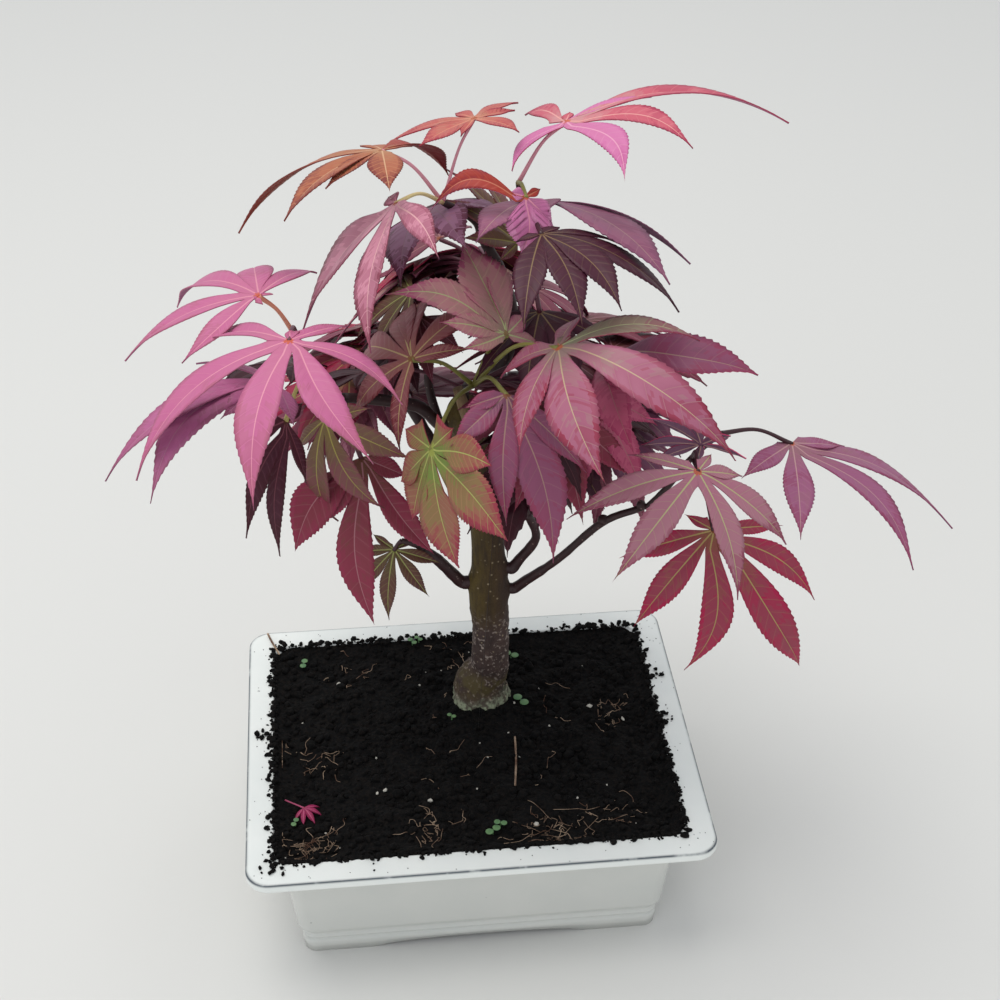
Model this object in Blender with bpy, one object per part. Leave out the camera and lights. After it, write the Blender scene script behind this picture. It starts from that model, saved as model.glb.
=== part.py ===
"""Small red-leaved maple grown as a bonsai in a low white glazed pot.

Units are metres and +Z is up. X runs along the pot's long side and -Y is its front.
The origin is the middle of the pot's flat underside.
"""
import math
import random

import bmesh
import bpy
from mathutils import Vector
from mathutils.bvhtree import BVHTree

MM = 0.001
SEAT_GAP = 0.3

# Pot, in millimetres
POT_LENGTH = 180
POT_WIDTH = 148
POT_HEIGHT = 60
POT_CORNER_RADIUS = 9
RIM_WIDTH = 11
RIM_DEPTH = 5
FOOT_INSET = 19
FLOOR_THICKNESS = 6
ARCH_HALF_SPAN = 42
ARCH_HEIGHT = 3
ARCH_DEPTH = 10
DRAIN_RADIUS = 6
DRAIN_OFFSET = 34

# Soil and trunk foot, in millimetres
SOIL_TOP = 57
FOOT_X = 6
FOOT_Y = 26
TRUNK_Y = 18
TRUNK_FOOT_RADIUS = 12
FLARE_HEIGHT = 16

# Leaf, in millimetres and degrees: angle of each pair of lobes from the middle one,
# and its length as a share of the leaf's reach
LOBE_ANGLES = (0, 37, 74, 115)
LOBE_SHARES = (1.0, 0.93, 0.75, 0.42)
SINUS_SHARE = 0.3
LEAF_THICKNESS = 1.4
PETIOLE_RADIUS = 0.8


def clear_scene():
    for item in list(bpy.data.objects):
        bpy.data.objects.remove(item, do_unlink=True)


def make_collection(name):
    collection = bpy.data.collections.new(name)
    bpy.context.scene.collection.children.link(collection)
    return collection


def make_material(name, colour, roughness):
    """Principled material with a linear base colour."""
    material = bpy.data.materials.new(name)
    material.use_nodes = True
    shader = material.node_tree.nodes["Principled BSDF"]
    shader.inputs["Base Color"].default_value = (*colour, 1.0)
    shader.inputs["Roughness"].default_value = roughness
    shader.inputs["Metallic"].default_value = 0.0
    return material


clear_scene()
parts = make_collection("maple_bonsai")
cutters = make_collection("cutters")

glaze = make_material("white_glaze", (0.86, 0.89, 0.87), 0.25)
earth = make_material("dark_soil", (0.016, 0.013, 0.011), 0.95)
bark = make_material("trunk_bark", (0.13, 0.09, 0.06), 0.85)
bough_bark = make_material("bough_bark", (0.08, 0.03, 0.03), 0.7)
cut_wood = make_material("cut_wood", (0.35, 0.24, 0.15), 0.8)
leaf_tints = {
    "pink": make_material("pink_leaf", (0.50, 0.12, 0.24), 0.55),
    "mauve": make_material("mauve_leaf", (0.22, 0.07, 0.13), 0.55),
    "maroon": make_material("maroon_leaf", (0.17, 0.03, 0.05), 0.55),
    "rust": make_material("rust_leaf", (0.42, 0.12, 0.08), 0.55),
    "green": make_material("green_leaf", (0.16, 0.20, 0.06), 0.55),
}


def object_from_bmesh(name, mesh_data, material, collection):
    """Closed mesh object with its faces turned outward."""
    bmesh.ops.recalc_face_normals(mesh_data, faces=mesh_data.faces)
    mesh = bpy.data.meshes.new(name)
    mesh_data.to_mesh(mesh)
    mesh_data.free()
    mesh.materials.append(material)
    item = bpy.data.objects.new(name, mesh)
    collection.objects.link(item)
    return item


def add_cut(item, cutter):
    """Boolean difference that stays on the object as a modifier."""
    cutter.hide_render = True
    cutter.display_type = "WIRE"
    for collection in list(cutter.users_collection):
        collection.objects.unlink(cutter)
    cutters.objects.link(cutter)
    cut = item.modifiers.new(cutter.name, "BOOLEAN")
    cut.operation = "DIFFERENCE"
    cut.object = cutter


# Pot and soil

def rounded_rectangle(inset, height):
    """Ring of points round the pot at one height, set in from the rim's outline."""
    half_x = POT_LENGTH / 2 - inset
    half_y = POT_WIDTH / 2 - inset
    radius = max(POT_CORNER_RADIUS - 0.2 * inset, 3)
    steps = 4
    ring = []
    for corner in range(4):
        side_x = 1 if corner in (0, 3) else -1
        side_y = 1 if corner in (0, 1) else -1
        for step in range(steps + 1):
            angle = math.radians(90 * (corner + step / steps))
            x = side_x * (half_x - radius) + radius * math.cos(angle)
            y = side_y * (half_y - radius) + radius * math.sin(angle)
            ring.append(Vector((x, y, height)) * MM)
    return ring


def loft(name, rings, material, collection):
    """Solid skinned over a stack of like rings, with its first and last ring capped."""
    data = bmesh.new()
    loops = [[data.verts.new(point) for point in ring] for ring in rings]
    count = len(rings[0])
    for lower, upper in zip(loops, loops[1:]):
        for index in range(count):
            after = (index + 1) % count
            data.faces.new((lower[index], lower[after], upper[after], upper[index]))
    data.faces.new(loops[0])
    data.faces.new(loops[-1])
    return object_from_bmesh(name, data, material, collection)


rim_bottom = POT_HEIGHT - RIM_DEPTH
outer_profile = (
    (FOOT_INSET, 0),
    (FOOT_INSET - 0.5, 6),
    (FOOT_INSET + 0.8, 7),
    (FOOT_INSET - 0.8, 8.5),
    (FOOT_INSET + 0.3, 10),
    (FOOT_INSET - 2, 14),
    (FOOT_INSET - 4.5, 40),
    (FOOT_INSET - 6, rim_bottom - 3),
    (FOOT_INSET - 9, rim_bottom - 0.8),
    (1.5, rim_bottom),
    (0, rim_bottom + 1.2),
    (0, POT_HEIGHT - 1),
    (1, POT_HEIGHT),
)
inner_profile = (
    (RIM_WIDTH - 1, POT_HEIGHT),
    (RIM_WIDTH, POT_HEIGHT - 1),
    (RIM_WIDTH + 2, POT_HEIGHT - 4),
    (RIM_WIDTH + 7.5, rim_bottom - 3),
    (FOOT_INSET + 4.5, FLOOR_THICKNESS + 2),
    (FOOT_INSET + 7, FLOOR_THICKNESS),
)
pot = loft("pot", [rounded_rectangle(*level) for level in outer_profile + inner_profile], glaze, parts)

for side in (-1, 1):
    bpy.ops.mesh.primitive_cylinder_add(vertices=24, radius=1, depth=1, rotation=(math.radians(90), 0, 0))
    arch = bpy.context.object
    arch.name = "arch_front" if side < 0 else "arch_back"
    arch.scale = (ARCH_HALF_SPAN * MM, ARCH_HEIGHT * MM, 2 * ARCH_DEPTH * MM)
    arch.location = (0, side * (POT_WIDTH / 2 - FOOT_INSET) * MM, 0)
    add_cut(pot, arch)
    bpy.ops.mesh.primitive_cylinder_add(
        vertices=16,
        radius=DRAIN_RADIUS * MM,
        depth=3 * FLOOR_THICKNESS * MM,
        location=(side * DRAIN_OFFSET * MM, 0, 0),
    )
    drain = bpy.context.object
    drain.name = "drain_left" if side < 0 else "drain_right"
    add_cut(pot, drain)

soil_profile = (
    (FOOT_INSET + 7 + SEAT_GAP, FLOOR_THICKNESS + SEAT_GAP),
    (FOOT_INSET + 4.5 + SEAT_GAP, FLOOR_THICKNESS + 2 + SEAT_GAP),
    (RIM_WIDTH + 7.5 + SEAT_GAP, rim_bottom - 3),
    (RIM_WIDTH + 2 + 2 * SEAT_GAP, SOIL_TOP - 1.4),
    (RIM_WIDTH + 8, SOIL_TOP - 0.5),
    (RIM_WIDTH + 22, SOIL_TOP),
)
loft("soil", [rounded_rectangle(*level) for level in soil_profile], earth, parts)


# Trunk and boughs

def smooth_route(points, steps):
    """Catmull-Rom curve through the points, with a number of steps between two of them."""
    ends = [points[0] * 2 - points[1], *points, points[-1] * 2 - points[-2]]
    route = []
    for index in range(1, len(ends) - 2):
        before, start, end, after = ends[index - 1:index + 3]
        for step in range(steps):
            t = step / steps
            route.append(0.5 * (
                2 * start
                + t * (end - before)
                + t * t * (2 * before - 5 * start + 4 * end - after)
                + t ** 3 * (3 * start - before - 3 * end + after)
            ))
    route.append(points[-1])
    return route


LIMB_STEPS = 2


def make_limb(name, stations, material, collection, steps=LIMB_STEPS, sides_level=1):
    """Tapering limb: a bevelled curve through (x, y, z, radius) stations, made a closed mesh."""
    route = smooth_route([Vector(station) for station in stations], steps)
    curve = bpy.data.curves.new(name, "CURVE")
    curve.dimensions = "3D"
    curve.bevel_depth = MM
    curve.bevel_resolution = sides_level
    curve.use_fill_caps = True
    curve.materials.append(material)
    spline = curve.splines.new("POLY")
    spline.points.add(len(route) - 1)
    for point, station in zip(spline.points, route):
        point.co = (*(station.xyz * MM), 1)
        point.radius = station.w
    source = bpy.data.objects.new(name + "_curve", curve)
    collection.objects.link(source)
    bpy.context.view_layer.update()
    evaluated = source.evaluated_get(bpy.context.evaluated_depsgraph_get())
    mesh = bpy.data.meshes.new_from_object(evaluated)
    welded = bmesh.new()
    welded.from_mesh(mesh)
    bmesh.ops.remove_doubles(welded, verts=welded.verts, dist=0.00001)
    item = object_from_bmesh(name, welded, material, collection)
    item.matrix_world = source.matrix_world
    bpy.data.objects.remove(source)
    bpy.data.curves.remove(curve)
    return item


def tree_of(item):
    """Search tree over an object's faces, for the tests of what touches what."""
    data = bmesh.new()
    data.from_mesh(item.data)
    tree = BVHTree.FromBMesh(data)
    data.free()
    return tree


foot_height = SOIL_TOP + SEAT_GAP
trunk_stations = (
    (FOOT_X + 1, FOOT_Y, foot_height, TRUNK_FOOT_RADIUS),
    (FOOT_X + 1, FOOT_Y, foot_height + 5, 11.3),
    (FOOT_X + 1.5, FOOT_Y, foot_height + 10, 10.2),
    (FOOT_X + 3.8, FOOT_Y - 1, foot_height + 15, 8.5),
    (FOOT_X + 5, FOOT_Y - 2, foot_height + 20, 7.9),
    (FOOT_X + 5, FOOT_Y - 4, 84, 7.8),
    (FOOT_X + 5, FOOT_Y - 7, 100, 7.2),
    (FOOT_X + 4, TRUNK_Y, 118, 7.7),
    (FOOT_X + 4, TRUNK_Y, 136, 6.6),
    (FOOT_X + 3, TRUNK_Y, 155, 6.3),
    (FOOT_X - 1, TRUNK_Y - 1, 185, 6.3),
    (FOOT_X - 4, TRUNK_Y - 2, 203, 7.0),
    (FOOT_X - 5, TRUNK_Y - 2, 208, 6.4),
    (FOOT_X - 5, TRUNK_Y - 2, 212, 4.4),
)
trunk = make_limb("trunk", trunk_stations, bark, parts, sides_level=4)
for vertex in trunk.data.vertices:
    height = max(vertex.co.z / MM - foot_height, 0)
    if height < 1:
        vertex.co.z = foot_height * MM
    if height < FLARE_HEIGHT:
        fade = (1 - height / FLARE_HEIGHT) ** 2
        angle = math.atan2(vertex.co.y - FOOT_Y * MM, vertex.co.x - FOOT_X * MM)
        swell = 1 + fade * (0.10 * math.cos(3 * angle + 0.6) + 0.06 * math.cos(5 * angle))
        vertex.co.x = FOOT_X * MM + (vertex.co.x - FOOT_X * MM) * swell
        vertex.co.y = FOOT_Y * MM + (vertex.co.y - FOOT_Y * MM) * swell


def limb_section(stations, height, outward, steps):
    """Centre and radius of a rising limb at one height, and its reach in a level direction."""
    route = smooth_route([Vector(station) for station in stations], steps)
    for lower, upper in zip(route, route[1:]):
        if lower.z <= height <= upper.z:
            station = lower.lerp(upper, (height - lower.z) / (upper.z - lower.z))
            return station, station.xyz.dot(outward) + station.w
    return route[-1], route[-1].xyz.dot(outward)


def root_on(stations, height, azimuth, radius, rise=2.0, steps=LIMB_STEPS):
    """First stations of a limb that leaves a rising one square to its bark, a seat's gap clear."""
    outward = Vector((math.cos(math.radians(azimuth)), math.sin(math.radians(azimuth)), 0))
    levels = [height + share * radius for share in (-1.1, -0.5, 0, 0.5, 1.1)]
    reach = max(limb_section(stations, level, outward, steps)[1] for level in levels)
    axis = limb_section(stations, height, outward, steps)[0].xyz
    start = axis + (reach + SEAT_GAP - axis.dot(outward)) * outward
    straight = [(*(start + length * outward), radius) for length in (0, 1, 2)]
    bend = start + 4.5 * outward + Vector((0, 0, rise))
    return (*straight, (*bend, 0.93 * radius))


def root_on_trunk(height, azimuth, radius, rise=2.0):
    return root_on(trunk_stations, height, azimuth, radius, rise)


bough_stations = {
    "bough_left_low": (*root_on_trunk(126, 185, 2.7), (-10, 13, 141, 2.2), (-16, 12, 148, 1.9)),
    "bough_right_long": (
        *root_on_trunk(122, -8, 2.2), (36, 10, 140, 1.6), (52, 4, 161, 1.5), (66, 0, 170, 1.3),
    ),
    "bough_right_steep": (*root_on_trunk(132.5, -12, 2.3, 4), (28, 12, 150, 1.8), (24, 9, 164, 1.6)),
    "bough_left": (
        *root_on_trunk(203, 190, 2.6), (-16, 11, 213, 2.3), (-28, 7, 219, 2.1), (-43, 1, 225, 1.8),
    ),
    "bough_back_left": (
        *root_on_trunk(165, 120, 2.6), (-8, 34, 178, 2.3), (-18, 42, 194, 2.0), (-30, 48, 208, 1.7),
    ),
    "bough_back_right": (
        *root_on_trunk(148, 60, 2.6), (25, 31, 162, 2.2), (36, 40, 182, 2.0), (46, 46, 198, 1.7),
    ),
    "leader": (
        *root_on_trunk(205, 40, 3.0, 5),
        (14, 20, 222, 2.7), (19, 18, 240, 2.4), (15, 17, 262, 2.1), (9, 16, 275, 1.9),
    ),
}
leader = bough_stations["leader"]
limbs = {"trunk": trunk}
for limb_name, limb_stations in bough_stations.items():
    limbs[limb_name] = make_limb(limb_name, limb_stations, bough_bark, parts)

limbs["cut_stub"] = make_limb(
    "cut_stub",
    (*root_on_trunk(203, 268, 2.4, 6), (-2, 6.6, 223, 1.9)),
    cut_wood,
    parts,
)

# Foliage

def leaf_axes(heading, dip, bank):
    """Directions of a leaf's middle lobe, of its left side and of its upper face."""
    turn = math.radians(heading)
    drop = math.radians(dip)
    roll = math.radians(bank)
    forward = Vector((
        math.cos(turn) * math.cos(drop),
        math.sin(turn) * math.cos(drop),
        -math.sin(drop),
    ))
    side = Vector((-math.sin(turn), math.cos(turn), 0))
    up = forward.cross(side)
    left = math.cos(roll) * side + math.sin(roll) * up
    return forward, left, forward.cross(left)


def lobe_plan(lobes, spread, trim):
    """Angle and length share of each lobe, from the right-hand one round to the left."""
    half = lobes // 2
    plan = []
    for number in range(-half, half + 1):
        turn, stretch = trim.get(number, (0, 1.0))
        angle = math.copysign(LOBE_ANGLES[abs(number)] * spread, number) + turn
        plan.append((angle, LOBE_SHARES[abs(number)] * stretch))
    return plan


def leaf_mesh(leaf):
    """Closed blade of a palmate leaf that bends down evenly from its hub to its tips.

    Each lobe has a midrib with an upper and a lower line of points, and edges that both
    faces share, so the blade is thickest at the hub and sharp all round.
    """
    forward, left, up = leaf_axes(leaf["heading"], leaf["dip"], leaf["bank"])
    hub = Vector(leaf["hub"])
    reach = leaf["reach"]
    bend = math.radians(leaf["droop"]) / reach
    data = bmesh.new()

    def place(distance, angle, lift=0.0):
        out = math.cos(math.radians(angle)) * forward + math.sin(math.radians(angle)) * left
        tilt = bend * distance
        spot = hub + math.sin(tilt) / bend * out - (1 - math.cos(tilt)) / bend * up
        return data.verts.new((spot + lift * (math.cos(tilt) * up + math.sin(tilt) * out)) * MM)

    def both_faces(*corners):
        data.faces.new([corner[0] for corner in corners])
        data.faces.new([corner[-1] for corner in reversed(corners)])

    def rib_point(distance, angle, thickness):
        return place(distance, angle, thickness / 2), place(distance, angle, -thickness / 2)

    plan = lobe_plan(leaf["lobes"], leaf["spread"], leaf["trim"])
    width = leaf["width"]
    centre = rib_point(0.5, 180, LEAF_THICKNESS)
    first_angle = max(plan[0][0] - 35, -172)
    last_angle = min(plan[-1][0] + 35, 172)
    sinuses = [(place(0.12 * reach, first_angle),)]
    for (angle, share), (next_angle, next_share) in zip(plan, plan[1:]):
        depth = SINUS_SHARE * reach * min(share, next_share, 1)
        sinuses.append((place(depth, (angle + next_angle) / 2),))
    sinuses.append((place(0.12 * reach, last_angle),))
    borders = [first_angle, *((low[0] + high[0]) / 2 for low, high in zip(plan, plan[1:])), last_angle]
    for index, (angle, share) in enumerate(plan):
        length = reach * share
        inner = rib_point(0.42 * length, angle, 0.9 * LEAF_THICKNESS)
        outer = rib_point(0.75 * length, angle, 0.6 * LEAF_THICKNESS)
        tip = (place(length, angle),)
        before = sinuses[index]
        after = sinuses[index + 1]
        for side, sinus, border in ((-1, before, borders[index]), (1, after, borders[index + 1])):
            swell = min(math.degrees(0.25 * width), 0.9 * abs(border - angle))
            broad = (place(0.56 * length, angle + side * swell),)
            narrow = (place(0.82 * length, angle + side * 0.32 * swell),)
            strip = ((centre, sinus, inner), (sinus, broad, inner), (broad, outer, inner),
                     (broad, narrow, outer), (narrow, tip, outer))
            for triangle in strip:
                both_faces(*(triangle if side < 0 else reversed(triangle)))
    for sinus, order in ((sinuses[0], 1), (sinuses[-1], -1)):
        data.faces.new((sinus[0], centre[1], centre[0])[::order])
    return data


def make_leaf_object(name, leaf, collection):
    return object_from_bmesh(name, leaf_mesh(leaf), leaf_tints[leaf["tint"]], collection)


def leaf_row(hub, heading, dip, bank, reach, droop, lobes=7, spread=1.0, width=1.0, tint="mauve", trim=None):
    return {
        "hub": hub,
        "heading": heading,
        "dip": dip,
        "bank": bank,
        "reach": reach,
        "droop": droop,
        "lobes": lobes,
        "spread": spread,
        "width": width,
        "tint": tint,
        "trim": trim or {},
    }


def spray_rows(centre, outward, seed, count, radius, rise, tint, reach=52):
    """Leaves of a hidden or inner spray, fanned about one heading from a seeded rule."""
    chance = random.Random(seed)
    rows = []
    for index in range(count):
        swing = 150 * ((index + 0.5) / count - 0.5) + chance.uniform(-12, 12)
        heading = outward + swing
        distance = radius * chance.uniform(0.65, 1.0)
        height = rise * (index % 3 - 1) + chance.uniform(-5, 5)
        hub = (
            centre[0] + distance * math.cos(math.radians(heading)),
            centre[1] + distance * math.sin(math.radians(heading)),
            centre[2] + height,
        )
        rows.append(leaf_row(
            hub, heading + chance.uniform(-20, 20), chance.uniform(15, 45), chance.uniform(-15, 15),
            reach * chance.uniform(0.85, 1.1), chance.uniform(30, 55), lobes=chance.choice((5, 7)), tint=tint,
        ))
    return rows


def petiole_stations(stem, hub):
    """Leaf stalk: it leaves the nearest stem point, arches and sinks into the leaf's hub."""
    hub = Vector(hub)
    start = min(stem, key=lambda point: (Vector(point[:3]) - hub).length)
    root = Vector(start[:3])
    span = hub - root
    middle = root + 0.5 * span + Vector((0, 0, 0.12 * span.length))
    return [(*spot, PETIOLE_RADIUS) for spot in (root, middle, hub)]


def stem_beyond(bough, *stations):
    """Stem of a mass that goes on from a bough's tip, square to it and a seat's gap clear."""
    route = smooth_route([Vector(station) for station in bough_stations[bough]], LIMB_STEPS)
    tip = route[-1]
    onward = (route[-1].xyz - route[-2].xyz).normalized()
    start = tip.xyz + SEAT_GAP * onward
    straight = [tip.xyz + length * onward for length in (1.5, 3)]
    return ((*start, 0.95 * tip.w), *((*spot, 0.9 * tip.w) for spot in straight), *stations)


def make_mass(name, stem, rows, taken):
    """One mass of foliage: a stem, its leaf stalks and its leaves, fused into one body.

    A leaf that would touch a limb, or a mass that already has its space, is left out.
    """
    pieces = make_collection(name + "_pieces")
    base = make_limb(name, stem, leaf_tints[rows[0]["tint"]], parts, steps=1)
    own_trees = []
    for row in rows:
        leaf = make_leaf_object("leaf", row, pieces)
        stalk = make_limb("stalk", petiole_stations(stem[-3:], row["hub"]), leaf_tints[row["tint"]],
                          pieces, steps=2, sides_level=0)
        trees = [tree_of(leaf), tree_of(stalk)]
        if any(tree.overlap(other) for tree in trees for other in taken):
            bpy.data.objects.remove(leaf)
            bpy.data.objects.remove(stalk)
        else:
            own_trees += trees
    taken += [tree_of(base), *own_trees]
    union = base.modifiers.new("fuse", "BOOLEAN")
    union.operation = "UNION"
    union.operand_type = "COLLECTION"
    union.collection = pieces
    union.solver = "MANIFOLD"
    bpy.context.view_layer.update()
    fused = bpy.data.meshes.new_from_object(base.evaluated_get(bpy.context.evaluated_depsgraph_get()))
    base.modifiers.clear()
    base.data = fused
    for piece in list(pieces.objects):
        bpy.data.objects.remove(piece)
    bpy.data.collections.remove(pieces)
    return base


taken_space = [tree_of(limb) for limb in limbs.values()]
masses = {
    "foliage_left": dict(
        stem=stem_beyond("bough_left", (-50, -4, 233, 1.5), (-54, -7, 243, 1.3), (-57, -8, 254, 1.1)),
        rows=[
            leaf_row((-69, -11, 274), 137, -2, -4, 54, 49, width=0.85, tint="pink",
                     trim={-3: (0, 0.4), -2: (-4, 1.0), -1: (-5, 0.79), 0: (-8, 1.15), 1: (8, 1.06),
                           2: (9, 0.88), 3: (0, 0.4)}),
            leaf_row((-59, -45, 276), 250, 1, 2, 63, 55, spread=1.05, width=0.85, tint="pink",
                     trim={-3: (-28, 0.4), -2: (-34, 1.12), -1: (-9, 1.18), 0: (5, 0.99),
                           1: (10, 0.92), 2: (0, 0.91), 3: (26, 0.89)}),
            leaf_row((-65, -30, 251), 232, -25, -17, 64, 78, lobes=5, spread=0.9, tint="mauve",
                     trim={-2: (-16, 0.66), -1: (16, 1.19), 0: (6, 1.03), 1: (-8, 0.5), 2: (0, 0.4)}),
            leaf_row((-63, -23, 232), 282, 60, -45, 50, 20, lobes=5, width=0.75, tint="maroon",
                     trim={-2: (-8, 0.65), -1: (5, 0.93), 0: (-6, 0.94), 1: (-14, 0.54),
                           2: (36, 0.4)}),
            leaf_row((-50, -13, 225), 283, 31, 43, 39, 66, lobes=5, spread=1.1, tint="green",
                     trim={-2: (-2, 0.61), -1: (-2, 1.26), 0: (1, 1.03), 1: (2, 0.98), 2: (0, 0.6)}),
            leaf_row((-38, -9, 206), 276, 48, -5, 56, 20, lobes=5, spread=0.8, width=1.1, tint="maroon",
                     trim={-2: (4, 0.7), -1: (-6, 0.79), 0: (-1, 1.09), 1: (2, 0.85), 2: (3, 0.42)}),
        ],
    ),
    "foliage_left_low": dict(
        stem=stem_beyond("bough_left_low", (-21, 11, 152, 1.4), (-24, 11, 153, 1.1)),
        rows=[
            leaf_row((-27, 11, 149), 253, 42, 10, 26, 41, spread=1.1, tint="green",
                     trim={-3: (9, 1.17), -2: (-3, 0.82), -1: (-1, 0.9), 0: (-5, 1.12), 1: (2, 0.96)}),
        ],
    ),
    "foliage_front": dict(
        stem=((1, 16, 212.3, 1.8), (1, 16, 214, 1.8), (1, 14, 218, 1.7), (2, 8, 223, 1.6), (3, 0, 228, 1.3)),
        rows=[
            leaf_row((13, -17, 258), 122, -53, 14, 43, 26, width=1.1, tint="rust",
                     trim={-2: (0, 0.45), -1: (16, 0.8), 0: (-6, 0.86), 1: (16, 1.14), 2: (-11, 0.83),
                           3: (-28, 1.13)}),
            leaf_row((-19, -10, 246), 115, -16, -37, 51, 76, tint="maroon",
                     trim={-1: (14, 1.22), 0: (-12, 0.92), 1: (-12, 1.05), 2: (-2, 1.02),
                           3: (10, 1.61)}),
            leaf_row((-15, -42, 230), 268, 49, 53, 43, 23, spread=0.9, width=1.2, tint="green",
                     trim={-3: (-16, 1.03), -2: (0, 0.7), -1: (-4, 0.7), 0: (2, 0.96), 1: (5, 1.09),
                           2: (5, 0.88), 3: (13, 0.7)}),
            leaf_row((26.5, -45, 268.6), 255, 6, 27, 63, 72, spread=1.1, width=1.2, tint="mauve",
                     trim={-3: (-22, 0.98), -2: (-28, 0.69), -1: (13, 0.66), 0: (13, 0.86),
                           1: (22, 1.29), 2: (28, 1.04), 3: (23, 0.4)}),
            leaf_row((11, -35, 245.5), 263, 33, -16, 52, 36, lobes=5, spread=0.75, width=0.95, tint="mauve",
                     trim={-2: (-10, 0.4), -1: (-14, 0.56), 0: (6, 0.86), 1: (-2, 1.26), 2: (1, 1.0)}),
            leaf_row((50, 0, 236), 342, -35, -17, 54, 57, lobes=5, width=1.15, tint="maroon",
                     trim={-2: (0, 1.43), -1: (-21, 0.87), 0: (2, 1.07), 1: (7, 0.64)}),
        ],
    ),
    "foliage_top_left": dict(
        stem=stem_beyond("leader", (6, 14.5, 284, 1.5), (0, 12, 290, 1.3), (-6, 9, 295, 1.1)),
        rows=[
            leaf_row((-22.5, -9, 304.6), 190, 40, 8, 59, 26, lobes=5, tint="pink",
                     trim={-2: (-36, 0.4), -1: (-42, 0.6), 0: (-7, 0.96), 1: (18, 1.07), 2: (20, 0.97)}),
            leaf_row((-26, 3, 317.6), 158, 6, 9, 57, 49, width=1.1, tint="rust",
                     trim={-3: (0, 0.6), -2: (-23, 1.27), -1: (-20, 0.4), 0: (3, 1.12), 1: (21, 0.83),
                           2: (-6, 0.66), 3: (-1, 1.2)}),
            leaf_row((5, 13, 323), 155, 12, 1, 35, 24, spread=1.2, width=0.8, tint="rust",
                     trim={-3: (0, 1), -2: (-15, 1.0), -1: (0, 0.5), 0: (-8, 1.09), 1: (2, 0.65),
                           2: (0, 0.5), 3: (12, 1.4)}),
            leaf_row((-10, 26, 285), 241, -14, 30, 47, 51, lobes=5, width=1.2, tint="mauve"),
        ],
    ),
    "foliage_top_right": dict(
        stem=(*root_on(leader, 262, 0, 1.4, 3), (22, 12, 276, 1.3), (21, 8, 288, 1.2), (19, 5, 303, 1.0)),
        rows=[
            leaf_row((34, 3, 325), 355, -21, 3, 72, 46, width=0.85, tint="pink",
                     trim={-3: (-33, 0.82), -2: (6, 0.73), -1: (10, 0.69), 0: (10, 1.11),
                           1: (-22, 0.45), 2: (0, 0.4), 3: (0, 1.31)}),
            leaf_row((20, -8, 304), 278, 50, -15, 19, 30, lobes=5, spread=1.1, width=1.2, tint="pink",
                     trim={-2: (-30, 0.4), -1: (-50, 1.86), 0: (-8, 1.0), 1: (6, 0.8), 2: (32, 0.5)}),
            leaf_row((24, -19, 296), 302, -8, -1, 54, 61, spread=0.95, tint="mauve",
                     trim={-3: (0, 0.4), -2: (21, 1.08), -1: (14, 0.88), 0: (2, 0.78), 1: (7, 1.09),
                           2: (0, 0.8), 3: (0, 0.5)}),
            leaf_row((26, 14, 292), 314, -16, -20, 63, 42, lobes=5, width=1.2, tint="mauve",
                     trim={-1: (0, 0.4), 0: (-1, 1.06)}),
        ],
    ),
    "foliage_right": dict(
        stem=stem_beyond("bough_right_long", (75, -4, 182, 1.2), (82, -9, 198, 1.1), (92, -8, 207, 1.0)),
        rows=[
            leaf_row((75.5, -46, 217.5), 286, 24, -8, 56, 57, spread=1.1, width=0.85, tint="mauve",
                     trim={-3: (0, 1.06), -2: (-11, 1.18), -1: (-14, 0.97), 0: (8, 0.85),
                           1: (13, 0.89), 2: (0, 0.45), 3: (0, 0.5)}),
            leaf_row((83, -17, 209), 178, -40, 54, 29, 26, spread=1.1, tint="mauve",
                     trim={-1: (-11, 0.82), 0: (8, 1.01), 1: (0, 0.96), 3: (2, 1.46)}),
            leaf_row((86, -34, 183), 260, 44, 0, 60, 59, width=0.8, tint="maroon",
                     trim={-3: (-3, 0.48), -2: (0, 0.84), -1: (-2, 0.88), 0: (-9, 0.98), 1: (4, 1.42),
                           2: (-12, 1.13), 3: (-16, 1.06)}),
            leaf_row((120.7, -2, 197), 310, 14, -9, 68, 24, lobes=5, spread=0.9, width=0.8, tint="maroon",
                     trim={-2: (-21, 0.64), -1: (-13, 0.75), 0: (2, 0.95), 1: (8, 1.21), 2: (0, 0.51)}),
        ],
    ),
    "foliage_inner_right": dict(
        stem=stem_beyond("bough_right_steep", (20, 7, 176, 1.4), (22, 5, 190, 1.2), (25, 3, 206, 1.0)),
        rows=spray_rows((24, 3, 213), 335, 3, 4, 14, 8, "maroon", reach=36),
    ),
    "foliage_back_left": dict(
        stem=stem_beyond("bough_back_left", (-33, 51, 214, 1.4), (-32, 54, 220, 1.1)),
        rows=spray_rows((-22, 52, 202), 145, 9, 6, 20, 14, "maroon", reach=48),
    ),
    "foliage_back_right": dict(
        stem=stem_beyond("bough_back_right", (49, 48, 204, 1.4), (50, 50, 210, 1.1)),
        rows=spray_rows((38, 48, 196), 35, 1, 6, 20, 14, "mauve", reach=48),
    ),
    "foliage_back_top": dict(
        stem=(*root_on(leader, 240, 95, 1.7), (16, 32, 245, 1.5), (12, 38, 250, 1.2)),
        rows=spray_rows((8, 40, 247), 90, 6, 6, 24, 8, "maroon", reach=46),
    ),
    "foliage_inner_left": dict(
        stem=(*root_on_trunk(192, 150, 1.8), (-11, 27, 210, 1.6), (-11, 28, 224, 1.3), (-10, 30, 230, 1.1)),
        rows=spray_rows((-10, 28, 241), 165, 20, 5, 10, 9, "maroon", reach=33),
    ),
}
for mass_name, mass in masses.items():
    make_mass(mass_name, mass["stem"], mass["rows"], taken_space)
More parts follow.
